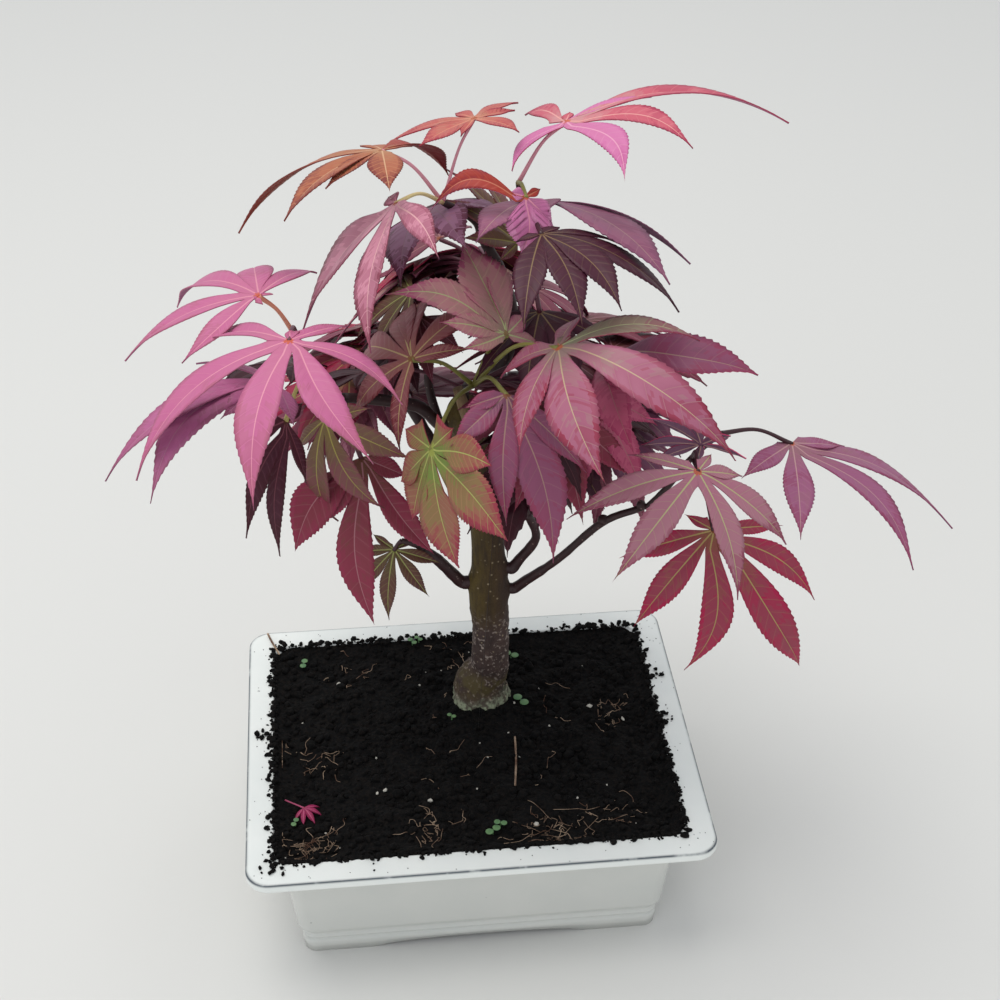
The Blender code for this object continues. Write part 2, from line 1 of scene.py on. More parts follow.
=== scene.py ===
"""Looks of a small red-leaved maple grown as a bonsai in a low white glazed pot.

Units are millimetres until a mesh is placed, +Z is up, and X runs along the pot's long side.
"""
import itertools
import math
import random

import bpy
import numpy as np
from mathutils import Matrix


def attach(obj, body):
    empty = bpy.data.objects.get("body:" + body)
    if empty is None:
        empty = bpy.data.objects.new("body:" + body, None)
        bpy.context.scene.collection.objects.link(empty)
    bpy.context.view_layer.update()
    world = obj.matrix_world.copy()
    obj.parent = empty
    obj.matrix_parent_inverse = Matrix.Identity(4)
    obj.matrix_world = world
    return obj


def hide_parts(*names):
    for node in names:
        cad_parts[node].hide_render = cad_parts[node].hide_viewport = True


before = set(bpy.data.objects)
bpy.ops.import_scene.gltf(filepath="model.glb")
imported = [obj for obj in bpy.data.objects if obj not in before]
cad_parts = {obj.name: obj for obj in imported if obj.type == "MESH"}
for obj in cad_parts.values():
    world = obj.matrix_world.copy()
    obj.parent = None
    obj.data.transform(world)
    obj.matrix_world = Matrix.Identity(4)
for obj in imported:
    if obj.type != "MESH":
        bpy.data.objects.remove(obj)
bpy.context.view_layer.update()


# Camera: it looks down at the pot's front from about the height of someone leaning over a table.
# Its place and lens come from the four corners of the pot's rim in the photograph.

MM = 0.001
CAMERA_SPOT = (-42.81, -531.1, 557.73)
CAMERA_YAW = 0.104
CAMERA_PITCH = 0.619
CAMERA_ROLL = 0.003
CAMERA_LENS = 63.54

ahead = np.array([
    math.sin(CAMERA_YAW) * math.cos(CAMERA_PITCH),
    math.cos(CAMERA_YAW) * math.cos(CAMERA_PITCH),
    -math.sin(CAMERA_PITCH),
])
level = np.array([math.cos(CAMERA_YAW), -math.sin(CAMERA_YAW), 0.0])
above = np.cross(level, ahead)
picture_right = math.cos(CAMERA_ROLL) * level + math.sin(CAMERA_ROLL) * above
picture_up = np.cross(picture_right, ahead)
lens = bpy.data.cameras.new("camera")
lens.lens = CAMERA_LENS
camera = bpy.data.objects.new("camera", lens)
bpy.context.scene.collection.objects.link(camera)
pose = np.eye(4)
pose[:3, 0] = picture_right
pose[:3, 1] = picture_up
pose[:3, 2] = -ahead
pose[:3, 3] = np.array(CAMERA_SPOT) * MM
camera.matrix_world = Matrix(pose.tolist())
bpy.context.scene.camera = camera
bpy.context.scene.view_settings.view_transform = "Standard"


# Daylight and table: a pale matt floor under a wide soft light, like an open sky, with a
# broad weak light from the left front that opens the shade under the leaves.

def linear(code):
    """Linear red, green and blue of an sRGB hex code."""
    parts = [int(code[start:start + 2], 16) / 255 for start in (0, 2, 4)]
    return [part / 12.92 if part <= 0.04045 else ((part + 0.055) / 1.055) ** 2.4 for part in parts]


def new_finish(name, code, roughness, **sockets):
    """Principled material with one base colour; other uniform values are set on its sockets."""
    finish = bpy.data.materials.new(name)
    finish.use_nodes = True
    shader = finish.node_tree.nodes["Principled BSDF"]
    shader.inputs["Base Color"].default_value = (*linear(code), 1)
    shader.inputs["Roughness"].default_value = roughness
    for socket, value in sockets.items():
        shader.inputs[socket.replace("_", " ")].default_value = value
    return finish


def add_light(name, spot, aim, size, power, code):
    """Soft round lamp at one spot, turned towards another."""
    light = bpy.data.lights.new(name, "AREA")
    light.shape = "DISK"
    light.size = size
    light.energy = power
    light.color = linear(code)
    lamp = bpy.data.objects.new(name, light)
    bpy.context.scene.collection.objects.link(lamp)
    lamp.location = spot
    away = np.array(spot) - np.array(aim)
    lamp.rotation_euler = (
        math.atan2(math.hypot(away[0], away[1]), away[2]), 0, math.atan2(away[0], -away[1]),
    )


add_light("sky", (-0.35, 0.1, 1.9), (0, 0, 0.15), 1.5, 18, "fffdf8")
add_light("front_fill", (-0.9, -1.3, 0.9), (0, 0, 0.15), 1.2, 3, "f4f8ff")
world = bpy.data.worlds.new("pale_sky")
world.use_nodes = True
world.node_tree.nodes["Background"].inputs["Color"].default_value = (*linear("eef2f6"), 1)
world.node_tree.nodes["Background"].inputs["Strength"].default_value = 0.75
bpy.context.scene.world = world

FLOOR_HALF = 2500
floor_mesh = bpy.data.meshes.new("floor")
floor_corners = [(side_x * FLOOR_HALF * MM, side_y * FLOOR_HALF * MM, 0)
                 for side_x, side_y in ((-1, -1), (1, -1), (1, 1), (-1, 1))]
floor_mesh.from_pydata(floor_corners, [], [(0, 1, 2, 3)])
floor_mesh.materials.append(new_finish("matt_floor_paint", "dcdbd8", 0.9))
floor = bpy.data.objects.new("floor", floor_mesh)
bpy.context.scene.collection.objects.link(floor)


# Pot: slip-cast stoneware in a white glaze, a rounded rectangle with a flat rim, a cove under
# it, a beaded foot and two shallow arches. It replaces the plainer pot of the solids.

POT_LENGTH = 180
POT_WIDTH = 148
POT_HEIGHT = 60
POT_CORNER_RADIUS = 9
RIM_WIDTH = 11
RIM_DEPTH = 5
FOOT_INSET = 19
FLOOR_THICKNESS = 6
ARCH_HALF_SPAN = 42
ARCH_HEIGHT = 3
ARCH_DEPTH = 10
DRAIN_RADIUS = 6
DRAIN_OFFSET = 34
DRAIN_SIDES = 48
EDGE_ROUNDING = 0.9


def add_node(finish, kind, inputs, **settings):
    """Adds a shader node, sets its properties, and fills or links its sockets."""
    tree = finish.node_tree
    node = tree.nodes.new("ShaderNode" + kind)
    for key, value in settings.items():
        setattr(node, key, value)
    for socket, value in inputs.items():
        if isinstance(value, bpy.types.NodeSocket):
            tree.links.new(value, node.inputs[socket])
        else:
            node.inputs[socket].default_value = value
    return node


def place_on(finish):
    """Where a point of the surface lies, in metres, for the textures of this material."""
    return add_node(finish, "TexCoord", {}).outputs["Object"]


def coordinate(finish, where, axis):
    return add_node(finish, "SeparateXYZ", {"Vector": where}).outputs[axis]


def drawn_up(finish, where, share):
    """The place with its height cut to this share, so that marks on it are drawn out upwards."""
    return add_node(finish, "Mapping", {"Vector": where, "Scale": (1, 1, share)}).outputs[0]


def noise(finish, where, scale, detail):
    """Cloudy noise from 0 to 1, with so many cells to a metre."""
    return add_node(finish, "TexNoise", {"Vector": where, "Scale": scale, "Detail": detail}).outputs[0]


def cells(finish, where, scale):
    """Distance to the nearest of the points strewn at so many to a metre, in their spacings."""
    return add_node(finish, "TexVoronoi", {"Vector": where, "Scale": scale}).outputs["Distance"]


def ramp(finish, value, low, high, start=0.0, end=1.0):
    """Start where the value is low, end where it is high, and even steps between."""
    return add_node(finish, "MapRange", {0: value, 1: low, 2: high, 3: start, 4: end}).outputs[0]


def combine(finish, first, second, kind="MULTIPLY"):
    """Product, or sum, of two values."""
    return add_node(finish, "Math", {0: first, 1: second}, operation=kind).outputs[0]


def blend(finish, share, first, second, kind="MIX"):
    """Colour that passes from the first to the second as the share rises; either may be a hex code."""
    first, second = [(*linear(end), 1) if isinstance(end, str) else end for end in (first, second)]
    inputs = {0: share, 6: first, 7: second}
    return add_node(finish, "Mix", inputs, data_type="RGBA", blend_type=kind).outputs[2]


def relief(finish, height, strength, depth):
    """Bumps in the shading, of this depth in metres."""
    return add_node(finish, "Bump", {"Height": height, "Strength": strength, "Distance": depth}).outputs[0]


def link_surface(finish, **sources):
    """Links node outputs to the surface shader's sockets."""
    shader = finish.node_tree.nodes["Principled BSDF"]
    for socket, source in sources.items():
        finish.node_tree.links.new(source, shader.inputs[socket.replace("_", " ")])


def grid_faces(rows, columns, joined=False):
    """Triangles of a grid of points given row by row; its last column may join its first."""
    row = np.arange(rows - 1)[:, None]
    column = np.arange(columns if joined else columns - 1)[None, :]
    near = row * columns + column
    far = row * columns + (column + 1) % columns
    lower = np.stack([near, far, far + columns], -1)
    upper = np.stack([near, far + columns, near + columns], -1)
    return np.stack([lower, upper], 2).reshape(-1, 3)


def closed_skin(rings):
    """Points and triangles of a stack of rings whose two ends are closed at a middle point."""
    rows, columns = rings.shape[:2]
    points = np.concatenate([rings.reshape(-1, 3), rings[:1].mean(1), rings[-1:].mean(1)])
    around = np.arange(columns)
    after = (around + 1) % columns
    first = np.full(columns, rows * columns)
    last_row = (rows - 1) * columns
    return points, np.concatenate([
        grid_faces(rows, columns, joined=True),
        np.stack([first, after, around], -1),
        np.stack([first + 1, last_row + around, last_row + after], -1),
    ])


def join_shells(shells):
    """One set of points and triangles from several."""
    points = np.concatenate([shell[0] for shell in shells])
    starts = np.cumsum([0] + [len(shell[0]) for shell in shells[:-1]])
    return points, np.concatenate([shell[1] + start for shell, start in zip(shells, starts)])


def place_piece(name, points, triangles, finishes, finish_of=None, flat=None):
    """Object at the origin with this mesh, given in millimetres, that rides on the root body.

    Each triangle takes the finish of its number in finish_of, and is smooth unless flat says so.
    """
    mesh = bpy.data.meshes.new(name)
    mesh.vertices.add(len(points))
    mesh.vertices.foreach_set("co", (np.asarray(points) * MM).ravel())
    mesh.loops.add(3 * len(triangles))
    mesh.loops.foreach_set("vertex_index", np.asarray(triangles, dtype=np.int32).ravel())
    mesh.polygons.add(len(triangles))
    mesh.polygons.foreach_set("loop_start", np.arange(len(triangles), dtype=np.int32) * 3)
    for finish in finishes:
        mesh.materials.append(finish)
    mesh.polygons.foreach_set("use_smooth", np.ones(len(triangles), bool) if flat is None else ~flat)
    if finish_of is not None:
        mesh.polygons.foreach_set("material_index", np.asarray(finish_of, dtype=np.int32))
    mesh.update(calc_edges=True)
    mesh.validate()
    piece = bpy.data.objects.new(name, mesh)
    bpy.context.scene.collection.objects.link(piece)
    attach(piece, "root")
    return piece


def pot_outline(inset, height, corner_steps=10, side_steps=28):
    """Rounded rectangles round the pot, one for each inset and height.

    A point is its corner's centre plus the corner radius times its direction; along a
    straight side the centre slides from one corner to the next and the direction stays.
    """
    centres = []
    directions = []
    for corner in range(4):
        centre = np.array([1 if corner in (0, 3) else -1, 1 if corner in (0, 1) else -1])
        following = np.array([1 if corner in (2, 3) else -1, 1 if corner in (0, 3) else -1])
        angle = np.radians(90) * (corner + np.arange(corner_steps) / corner_steps)
        centres.append(np.tile(centre, (corner_steps, 1)))
        directions.append(np.stack([np.cos(angle), np.sin(angle)], -1))
        share = (np.arange(side_steps) / side_steps)[:, None]
        centres.append(centre + share * (following - centre))
        end = np.radians(90) * (corner + 1)
        directions.append(np.tile([np.cos(end), np.sin(end)], (side_steps, 1)))
    centre = np.concatenate(centres)
    direction = np.concatenate(directions)
    inset = np.asarray(inset, float)[:, None]
    radius = np.maximum(POT_CORNER_RADIUS - 0.2 * inset, 3)
    x = centre[:, 0] * (POT_LENGTH / 2 - inset - radius) + direction[:, 0] * radius
    y = centre[:, 1] * (POT_WIDTH / 2 - inset - radius) + direction[:, 1] * radius
    z = np.broadcast_to(np.asarray(height, float)[:, None], x.shape)
    return np.stack([x, y, z], -1)


def soften(profile, reach):
    """Rounds each corner of a line of (inset, height) points with five points on a small curve."""
    profile = np.array(profile, float)
    rounded = [profile[:1]]
    for before, corner, after in zip(profile, profile[1:], profile[2:]):
        into = before - corner
        out = after - corner
        start = corner + into * min(0.45, reach / np.linalg.norm(into))
        stop = corner + out * min(0.45, reach / np.linalg.norm(out))
        share = np.linspace(0, 1, 5)[:, None]
        rounded.append((1 - share) ** 2 * start + 2 * share * (1 - share) * corner + share ** 2 * stop)
    return np.concatenate(rounded + [profile[-1:]])


rim_bottom = POT_HEIGHT - RIM_DEPTH
outer_line = soften([
    (FOOT_INSET, 0),
    (FOOT_INSET - 0.5, 6),
    (FOOT_INSET + 0.8, 7),
    (FOOT_INSET - 0.8, 8.5),
    (FOOT_INSET + 0.3, 10),
    (FOOT_INSET - 2, 14),
    (FOOT_INSET - 4.5, 40),
    (FOOT_INSET - 6, rim_bottom - 3),
    (FOOT_INSET - 9, rim_bottom - 0.8),
    (1.5, rim_bottom),
    (0, rim_bottom + 1.2),
    (0, POT_HEIGHT - 0.4),
    (0.6, POT_HEIGHT),
    (RIM_WIDTH - 0.6, POT_HEIGHT),
    (RIM_WIDTH, POT_HEIGHT - 1),
    (RIM_WIDTH + 2, POT_HEIGHT - 4),
    (RIM_WIDTH + 7.5, rim_bottom - 3),
    (FOOT_INSET + 4.5, FLOOR_THICKNESS + 2),
    (FOOT_INSET + 7, FLOOR_THICKNESS),
], EDGE_ROUNDING)
under_line = np.array([
    (FOOT_INSET + ARCH_DEPTH + 0.3, 0),
    (FOOT_INSET + ARCH_DEPTH, 0),
    (FOOT_INSET + 0.6, 0),
])
pot_line = np.concatenate([under_line, outer_line])
pot_rings = pot_outline(pot_line[:, 0], pot_line[:, 1])
arch = ARCH_HEIGHT * np.sqrt(np.maximum(0, 1 - (pot_rings[..., 0] / ARCH_HALF_SPAN) ** 2))
arch_back = POT_WIDTH / 2 - FOOT_INSET - ARCH_DEPTH - 0.1
under_arch = (pot_rings[..., 2] < ARCH_HEIGHT) & (np.abs(pot_rings[..., 1]) > arch_back)
under_arch[0] = False
pot_rings[..., 2] = np.where(under_arch, np.maximum(pot_rings[..., 2], arch), pot_rings[..., 2])


def bell(value, middle, reach):
    """Bell curve exp(-((value - middle) / reach)^2)."""
    return np.exp(-((value - middle) / reach) ** 2)


def store_share(piece, name, values):
    """One number for each point of the mesh, which its material reads by this name."""
    piece.data.attributes.new(name, "FLOAT", "POINT").data.foreach_set("value", values)


glaze = new_finish("white_stoneware_glaze", "eef1ee", 0.22, IOR=1.5, Coat_Weight=0.25, Coat_Roughness=0.08)
# The glaze clouds every 20 mm, and the wall under the rim is darkened with painted shade. Pin specks of
# iron in the glaze are about 0.5 mm across.
where = place_on(glaze)
height = coordinate(glaze, where, "Z")
clouded = blend(glaze, noise(glaze, where, 45.0, 3.0), "e9eeeb", "f8faf6")
painted_wall_shade = blend(glaze, ramp(glaze, height, 0.052, 0.057, 1.0, 0.0), clouded, "dfdddb", "MULTIPLY")
speck_mask = ramp(glaze, cells(glaze, where, 110.0), 0.03, 0.055, 0.6, 0.0)
specked = blend(glaze, speck_mask, painted_wall_shade, "8b8f8c")
# It runs thin over the sharp edges of the rim, where the dark body shows as a broken blue-grey line. The
# foot's underside, with the ceiling of each arch, is painted near black as shade.
edge = add_node(glaze, "Attribute", {}, attribute_name="worn_edge").outputs["Fac"]
chip_mask = ramp(glaze, noise(glaze, where, 160.0, 5.0), 0.25, 0.45, 0.35, 1.0)
lined = blend(glaze, combine(glaze, edge, chip_mask), specked, "333f4a")
underside_shade_mask = add_node(glaze, "Attribute", {}, attribute_name="painted_underside_shade").outputs["Fac"]
ripple = relief(glaze, noise(glaze, where, 90.0, 2.0), 0.12, 0.001)
link_surface(glaze, Base_Color=blend(glaze, underside_shade_mask, lined, "221c19"), Normal=ripple)

pot_points, pot_faces = closed_skin(pot_rings)
pot = place_piece("glazed_pot", pot_points, pot_faces, [glaze])
pot_inset, pot_height = pot_line.T
ring_edge = bell(pot_inset, 0.2, 0.55) * bell(pot_height, POT_HEIGHT - 0.2, 0.6)
ring_edge += 0.3 * bell(pot_inset, RIM_WIDTH - 0.2, 0.6) * bell(pot_height, POT_HEIGHT - 0.5, 0.8)
worn_edge = np.zeros(len(pot_points))
worn_edge[:-2] = np.repeat(ring_edge, pot_rings.shape[1])
store_share(pot, "worn_edge", worn_edge)
# Painted shade: one for the points of the foot's underside and the arches' ceilings.
painted_underside_shade = np.zeros(len(pot_points))
painted_underside_shade[:len(under_line) * pot_rings.shape[1]] = 1
store_share(pot, "painted_underside_shade", painted_underside_shade)

angle = np.linspace(0, 2 * np.pi, DRAIN_SIDES, endpoint=False)
for side in (-1, 1):
    hole_rings = np.stack([np.stack([
        side * DRAIN_OFFSET + DRAIN_RADIUS * np.cos(angle),
        DRAIN_RADIUS * np.sin(angle),
        np.full(DRAIN_SIDES, z),
    ], -1) for z in (-5.0, FLOOR_THICKNESS + 5.0)])
    drill = place_piece("drill", *closed_skin(hole_rings), [glaze])
    cut = pot.modifiers.new("drain", "BOOLEAN")
    cut.operation = "DIFFERENCE"
    cut.object = drill
    bpy.context.view_layer.update()
    drilled = bpy.data.meshes.new_from_object(pot.evaluated_get(bpy.context.evaluated_depsgraph_get()))
    pot.modifiers.clear()
    pot.data = drilled
    bpy.data.objects.remove(drill)
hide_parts("pot")


# Soil: a dark moist mix of crumbs, lumps and grit that fills the pot to just under its rim.
# The bed is one closed block with a lumpy top; the crumbs lie on it, and a few on the rim.

SEAT_GAP = 0.3
SOIL_TOP = 57
FOOT_X = 6
FOOT_Y = 26
BRIM_X = POT_LENGTH / 2 - RIM_WIDTH
BRIM_Y = POT_WIDTH / 2 - RIM_WIDTH
# Width and height of the soil's lumps, and how far it rises at the rim and round the trunk.
SOIL_LUMPS = ((14, 2.2), (5, 1.6), (2, 0.9))
HEAP_HEIGHT = 3.0
HEAP_REACH = 3
MOUND_HEIGHT = 4
MOUND_REACH = 16
LATTICE_SIZE = 24
lattice = np.random.default_rng(5).random((LATTICE_SIZE, LATTICE_SIZE, LATTICE_SIZE))


def bumps(points, size):
    """Smooth noise from 0 to 1: random values on a lattice of this size, eased between its corners."""
    spot = np.asarray(points) / size
    cell = np.floor(spot).astype(int)
    ease = spot - cell
    ease = ease * ease * (3 - 2 * ease)
    total = np.zeros(spot.shape[:-1])
    for corner in itertools.product((0, 1), repeat=3):
        weight = np.prod(np.where(np.array(corner) == 1, ease, 1 - ease), axis=-1)
        index = (cell + np.array(corner)) % LATTICE_SIZE
        total += weight * lattice[index[..., 0], index[..., 1], index[..., 2]]
    return total


def soil_height(x, y):
    """Height of the soil: lumps, heaped against the rim and round the trunk.

    The lumps are a quarter as high at the rim as they are 5 mm inside it.
    """
    spot = np.stack([x, y, np.zeros_like(x)], -1)
    rise = sum(height * (bumps(spot, width) - 0.5) for width, height in SOIL_LUMPS)
    margin = np.minimum(BRIM_X - np.abs(x), BRIM_Y - np.abs(y))
    heap = HEAP_HEIGHT * np.exp(-np.maximum(margin, 0) / HEAP_REACH)
    mound = MOUND_HEIGHT * np.exp(-((x - FOOT_X) ** 2 + (y - FOOT_Y) ** 2) / MOUND_REACH ** 2)
    return SOIL_TOP - 0.2 + rise * np.clip(margin / 5, 0.25, 1) + heap + mound


soil_line = np.array([
    (FOOT_INSET + 7 + SEAT_GAP, FLOOR_THICKNESS + SEAT_GAP),
    (FOOT_INSET + 4.5 + SEAT_GAP, FLOOR_THICKNESS + 2 + SEAT_GAP),
    (RIM_WIDTH + 7.5 + SEAT_GAP, rim_bottom - 3),
    (RIM_WIDTH + 2 + 2 * SEAT_GAP, SOIL_TOP - 2.5),
    (RIM_WIDTH + 1 + SEAT_GAP, POT_HEIGHT - 2),
])
BED_RINGS = 110
BED_STEPS = (8, 60)
soil_sides = pot_outline(soil_line[:, 0], soil_line[:, 1], *BED_STEPS)
brim = pot_outline([RIM_WIDTH + 0.2], [SOIL_TOP], *BED_STEPS)[0]
shrink = np.linspace(1, 0.01, BED_RINGS)[:, None, None]
bed = np.concatenate([brim[None, :, :2] * shrink, np.zeros((BED_RINGS, len(brim), 1))], -1)
bed[..., 2] = soil_height(bed[..., 0], bed[..., 1])
soil_rings = np.concatenate([soil_sides, bed])

earth = new_finish("moist_potting_soil", "0a0808", 0.95, Specular_IOR_Level=0.2)
# Peat and bark crumbs 1 to 3 mm across, some paler where they have dried.
where = place_on(earth)
grain = noise(earth, where, 700.0, 6.0)
crumbly = combine(earth, cells(earth, where, 420.0), grain, "ADD")
tone = blend(earth, ramp(earth, grain, 0.42, 0.72), "060607", "191411")
link_surface(earth, Base_Color=tone, Normal=relief(earth, crumbly, 0.8, 0.0012))
soil = place_piece("soil_bed", *closed_skin(soil_rings), [earth])
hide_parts("soil")

LUMP_FLATNESS = 0.8
LUMP_CORNERS = np.array([(1, 0, 0), (-1, 0, 0), (0, 1, 0), (0, -1, 0), (0, 0, 1), (0, 0, -1)], float)


def lump_shape():
    """Ball of 32 faces: an octahedron's faces split in four and pushed out to one radius."""
    faces = [(0, 2, 4), (2, 1, 4), (1, 3, 4), (3, 0, 4), (2, 0, 5), (1, 2, 5), (3, 1, 5), (0, 3, 5)]
    points = list(LUMP_CORNERS)
    middle = {}
    triangles = []

    def between(first, second):
        key = (min(first, second), max(first, second))
        if key not in middle:
            spot = LUMP_CORNERS[first] + LUMP_CORNERS[second]
            middle[key] = len(points)
            points.append(spot / np.linalg.norm(spot))
        return middle[key]

    for a, b, c in faces:
        ab, bc, ca = between(a, b), between(b, c), between(c, a)
        triangles += [(a, ab, ca), (ab, b, bc), (ca, bc, c), (ab, bc, ca)]
    return np.array(points), np.array(triangles)


LUMP_POINTS, LUMP_FACES = lump_shape()


def scatter_lumps(chance, x, y, z, size):
    """Angular lumps at these places: a ball, stretched, turned and with each corner moved a little."""
    count = len(x)
    shape = LUMP_POINTS[None] * chance.uniform(0.72, 1.25, (count, len(LUMP_POINTS), 1))
    shape = shape * chance.uniform(0.6, 1.2, (count, 1, 3))
    turn = chance.uniform(0, 2 * np.pi, count)
    cosine, sine = np.cos(turn)[:, None], np.sin(turn)[:, None]
    turned = np.stack([
        cosine * shape[..., 0] - sine * shape[..., 1],
        sine * shape[..., 0] + cosine * shape[..., 1],
        shape[..., 2] * LUMP_FLATNESS,
    ], -1)
    points = turned * size[:, None, None] + np.stack([x, y, z], -1)[:, None, :]
    starts = np.arange(count)[:, None, None] * len(LUMP_POINTS)
    return points.reshape(-1, 3), (LUMP_FACES[None] + starts).reshape(-1, 3)


def drop_lumps(chance, x, y, base, size, share):
    """Lumps whose middles lie above this base by this share of their size."""
    return scatter_lumps(chance, x, y, base + share * size, size)


# Crumbs lie all over the bed, in small spills on the rim, in a ragged band along the bed's
# edge that strays onto the rim, and as dust on the rim itself.
BED_X = BRIM_X - 3
BED_Y = BRIM_Y - 3
SPILL_X = 86
SPILL_Y = 70
CRUMB_COUNT = 2600
EDGE_COUNT = 2000
DUST_COUNT = 120
DUST_SIZE = 0.22
# Each spill's middle, number of crumbs and spread, as in the photograph.
SPILLS = (
    ((-78, -63), 26, 3), ((-44, -63), 16, 3), ((-84, 7), 12, 2),
    ((66, 56), 20, 5), ((86, 29), 7, 2), ((84, 5), 8, 4),
)
# How far the band strays onto the rim at the left, back, right and front.
EDGE_STRAYS = np.array([0.9, 1.0, 0.2, 0.0])
chance = np.random.default_rng(21)
x = chance.uniform(-BED_X, BED_X, CRUMB_COUNT)
y = chance.uniform(-BED_Y, BED_Y, CRUMB_COUNT)
size = 0.45 + 1.9 * chance.random(CRUMB_COUNT) ** 3
crumbs = [drop_lumps(chance, x, y, soil_height(x, y), size, 0.2)]
for (centre_x, centre_y), count, spread in SPILLS:
    x = np.clip(chance.normal(centre_x, spread, count), -SPILL_X, SPILL_X)
    y = np.clip(chance.normal(centre_y, spread, count), -SPILL_Y, SPILL_Y)
    size = 0.35 + 1.1 * chance.random(count) ** 2
    on_rim = (np.abs(x) > BRIM_X) | (np.abs(y) > BRIM_Y)
    crumbs.append(drop_lumps(chance, x, y, np.where(on_rim, POT_HEIGHT, SOIL_TOP + 1), size, 0.5))

edge_side = chance.integers(0, 4, EDGE_COUNT)
along = chance.uniform(-1, 1, EDGE_COUNT)
drift = chance.normal(EDGE_STRAYS[edge_side], 1.0)
spill = np.where(chance.random(EDGE_COUNT) < 0.5, chance.normal(-0.2, 0.4, EDGE_COUNT), drift)
x = np.choose(edge_side, [-BRIM_X - spill, along * BRIM_X, BRIM_X + spill, along * BRIM_X])
y = np.choose(edge_side, [along * BRIM_Y, BRIM_Y + spill, along * BRIM_Y, -BRIM_Y - spill])
size = 0.35 + 1.2 * chance.random(EDGE_COUNT) ** 2.5
crumbs.append(drop_lumps(chance, x, y, np.where(spill > 0, POT_HEIGHT, SOIL_TOP + 2.3), size, 0.3))

dust_side = chance.integers(0, 4, DUST_COUNT)
along = chance.uniform(-1, 1, DUST_COUNT)
outward = chance.uniform(1.2, RIM_WIDTH + 0.5, DUST_COUNT)
dust_x = POT_LENGTH / 2 - outward
dust_y = POT_WIDTH / 2 - outward
x = np.choose(dust_side, [along * SPILL_X, along * SPILL_X, dust_x, -dust_x])
y = np.choose(dust_side, [dust_y, -dust_y, along * SPILL_Y, along * SPILL_Y])
size = np.full(DUST_COUNT, DUST_SIZE)
crumbs.append(scatter_lumps(chance, x, y, np.full(DUST_COUNT, POT_HEIGHT + 0.1), size))
crumb_piece = place_piece("soil_crumbs", *join_shells(crumbs), [earth])

grit = new_finish("white_grit", "c9c5ba", 0.85)
FINE_GRIT_COUNT = 26
grit_spots = np.array([
    (-38.7, -26.2), (-35.5, -25.4), (52.4, 15.5), (65, 7), (-18, -33), (22, -50), (-52, 40),
])
x = np.concatenate([grit_spots[:, 0], chance.uniform(-BED_X, BED_X, FINE_GRIT_COUNT)])
y = np.concatenate([grit_spots[:, 1], chance.uniform(-BED_Y, BED_Y, FINE_GRIT_COUNT)])
size = np.concatenate([np.full(len(grit_spots), 1.1), chance.uniform(0.25, 0.6, FINE_GRIT_COUNT)])
grit_piece = place_piece("soil_grit", *drop_lumps(chance, x, y, soil_height(x, y), size, 0.5), [grit])


# Trunk: one upright stem of living wood, rough and grey-purple with lichen at its foot, smooth
# and olive-brown above, with a swollen collar where each bough leaves it.

TRUNK_Y = 18
TRUNK_TOP = 212
TRUNK_FOOT_RADIUS = 12
TRUNK_SIDES = 96
TRUNK_STEPS = 16
FLARE_HEIGHT = 16
# Between these heights the old plated bark passes to the young smooth one. A low ridge runs
# round the trunk there.
OLD_BARK_TOP = 106
YOUNG_BARK_START = 116
RIDGE_HEIGHT = 111.5
COLLAR_REACH = 4.2
foot_height = SOIL_TOP + SEAT_GAP
trunk_stations = (
    (FOOT_X + 1, FOOT_Y, foot_height, TRUNK_FOOT_RADIUS),
    (FOOT_X + 1, FOOT_Y, foot_height + 5, 11.3),
    (FOOT_X + 1.5, FOOT_Y, foot_height + 10, 10.2),
    (FOOT_X + 3.8, FOOT_Y - 1, foot_height + 15, 8.5),
    (FOOT_X + 5, FOOT_Y - 2, foot_height + 20, 7.9),
    (FOOT_X + 5, FOOT_Y - 4, 84, 7.8),
    (FOOT_X + 5, FOOT_Y - 7, 100, 7.2),
    (FOOT_X + 4, TRUNK_Y, 118, 7.7),
    (FOOT_X + 4, TRUNK_Y, 136, 6.6),
    (FOOT_X + 3, TRUNK_Y, 155, 6.3),
    (FOOT_X - 1, TRUNK_Y - 1, 185, 6.3),
    (FOOT_X - 4, TRUNK_Y - 2, 203, 7.0),
    (FOOT_X - 5, TRUNK_Y - 2, 208, 6.4),
    (FOOT_X - 5, TRUNK_Y - 2, TRUNK_TOP, 4.4),
)


def smooth_route(stations, steps):
    """Catmull-Rom curve through (x, y, z, radius) stations, as one array."""
    stations = np.array(stations, float)
    first = 2 * stations[:1] - stations[1:2]
    last = 2 * stations[-1:] - stations[-2:-1]
    line = np.concatenate([first, stations, last])[:, None]
    before, start, end, after = line[:-3], line[1:-2], line[2:-1], line[3:]
    share = (np.arange(steps) / steps)[None, :, None]
    curve = 0.5 * (
        2 * start
        + share * (end - before)
        + share ** 2 * (2 * before - 5 * start + 4 * end - after)
        + share ** 3 * (3 * start - before - 3 * end + after)
    )
    return np.concatenate([curve.reshape(-1, 4), stations[-1:]])


def limb_rings(route, sides, swell=None):
    """Rings of a tapering limb: each is a circle square to the route, its radius times swell.

    Swell takes the rings' points on the plain limb and gives a factor for each.
    """
    along = np.gradient(route[:, :3], axis=0)
    along /= np.linalg.norm(along, axis=1, keepdims=True)
    overall = route[-1, :3] - route[0, :3]
    lean = np.eye(3)[np.argmin(np.abs(overall))]
    first = lean - (along @ lean)[:, None] * along
    first /= np.linalg.norm(first, axis=1, keepdims=True)
    second = np.cross(along, first)
    angle = np.linspace(0, 2 * np.pi, sides, endpoint=False)
    cosine, sine = np.cos(angle)[:, None], np.sin(angle)[:, None]
    circle = cosine * first[:, None] + sine * second[:, None]
    radius = route[:, 3][:, None, None]
    rings = route[:, None, :3] + radius * circle
    if swell is not None:
        rings = route[:, None, :3] + radius * swell(rings)[..., None] * circle
    return rings


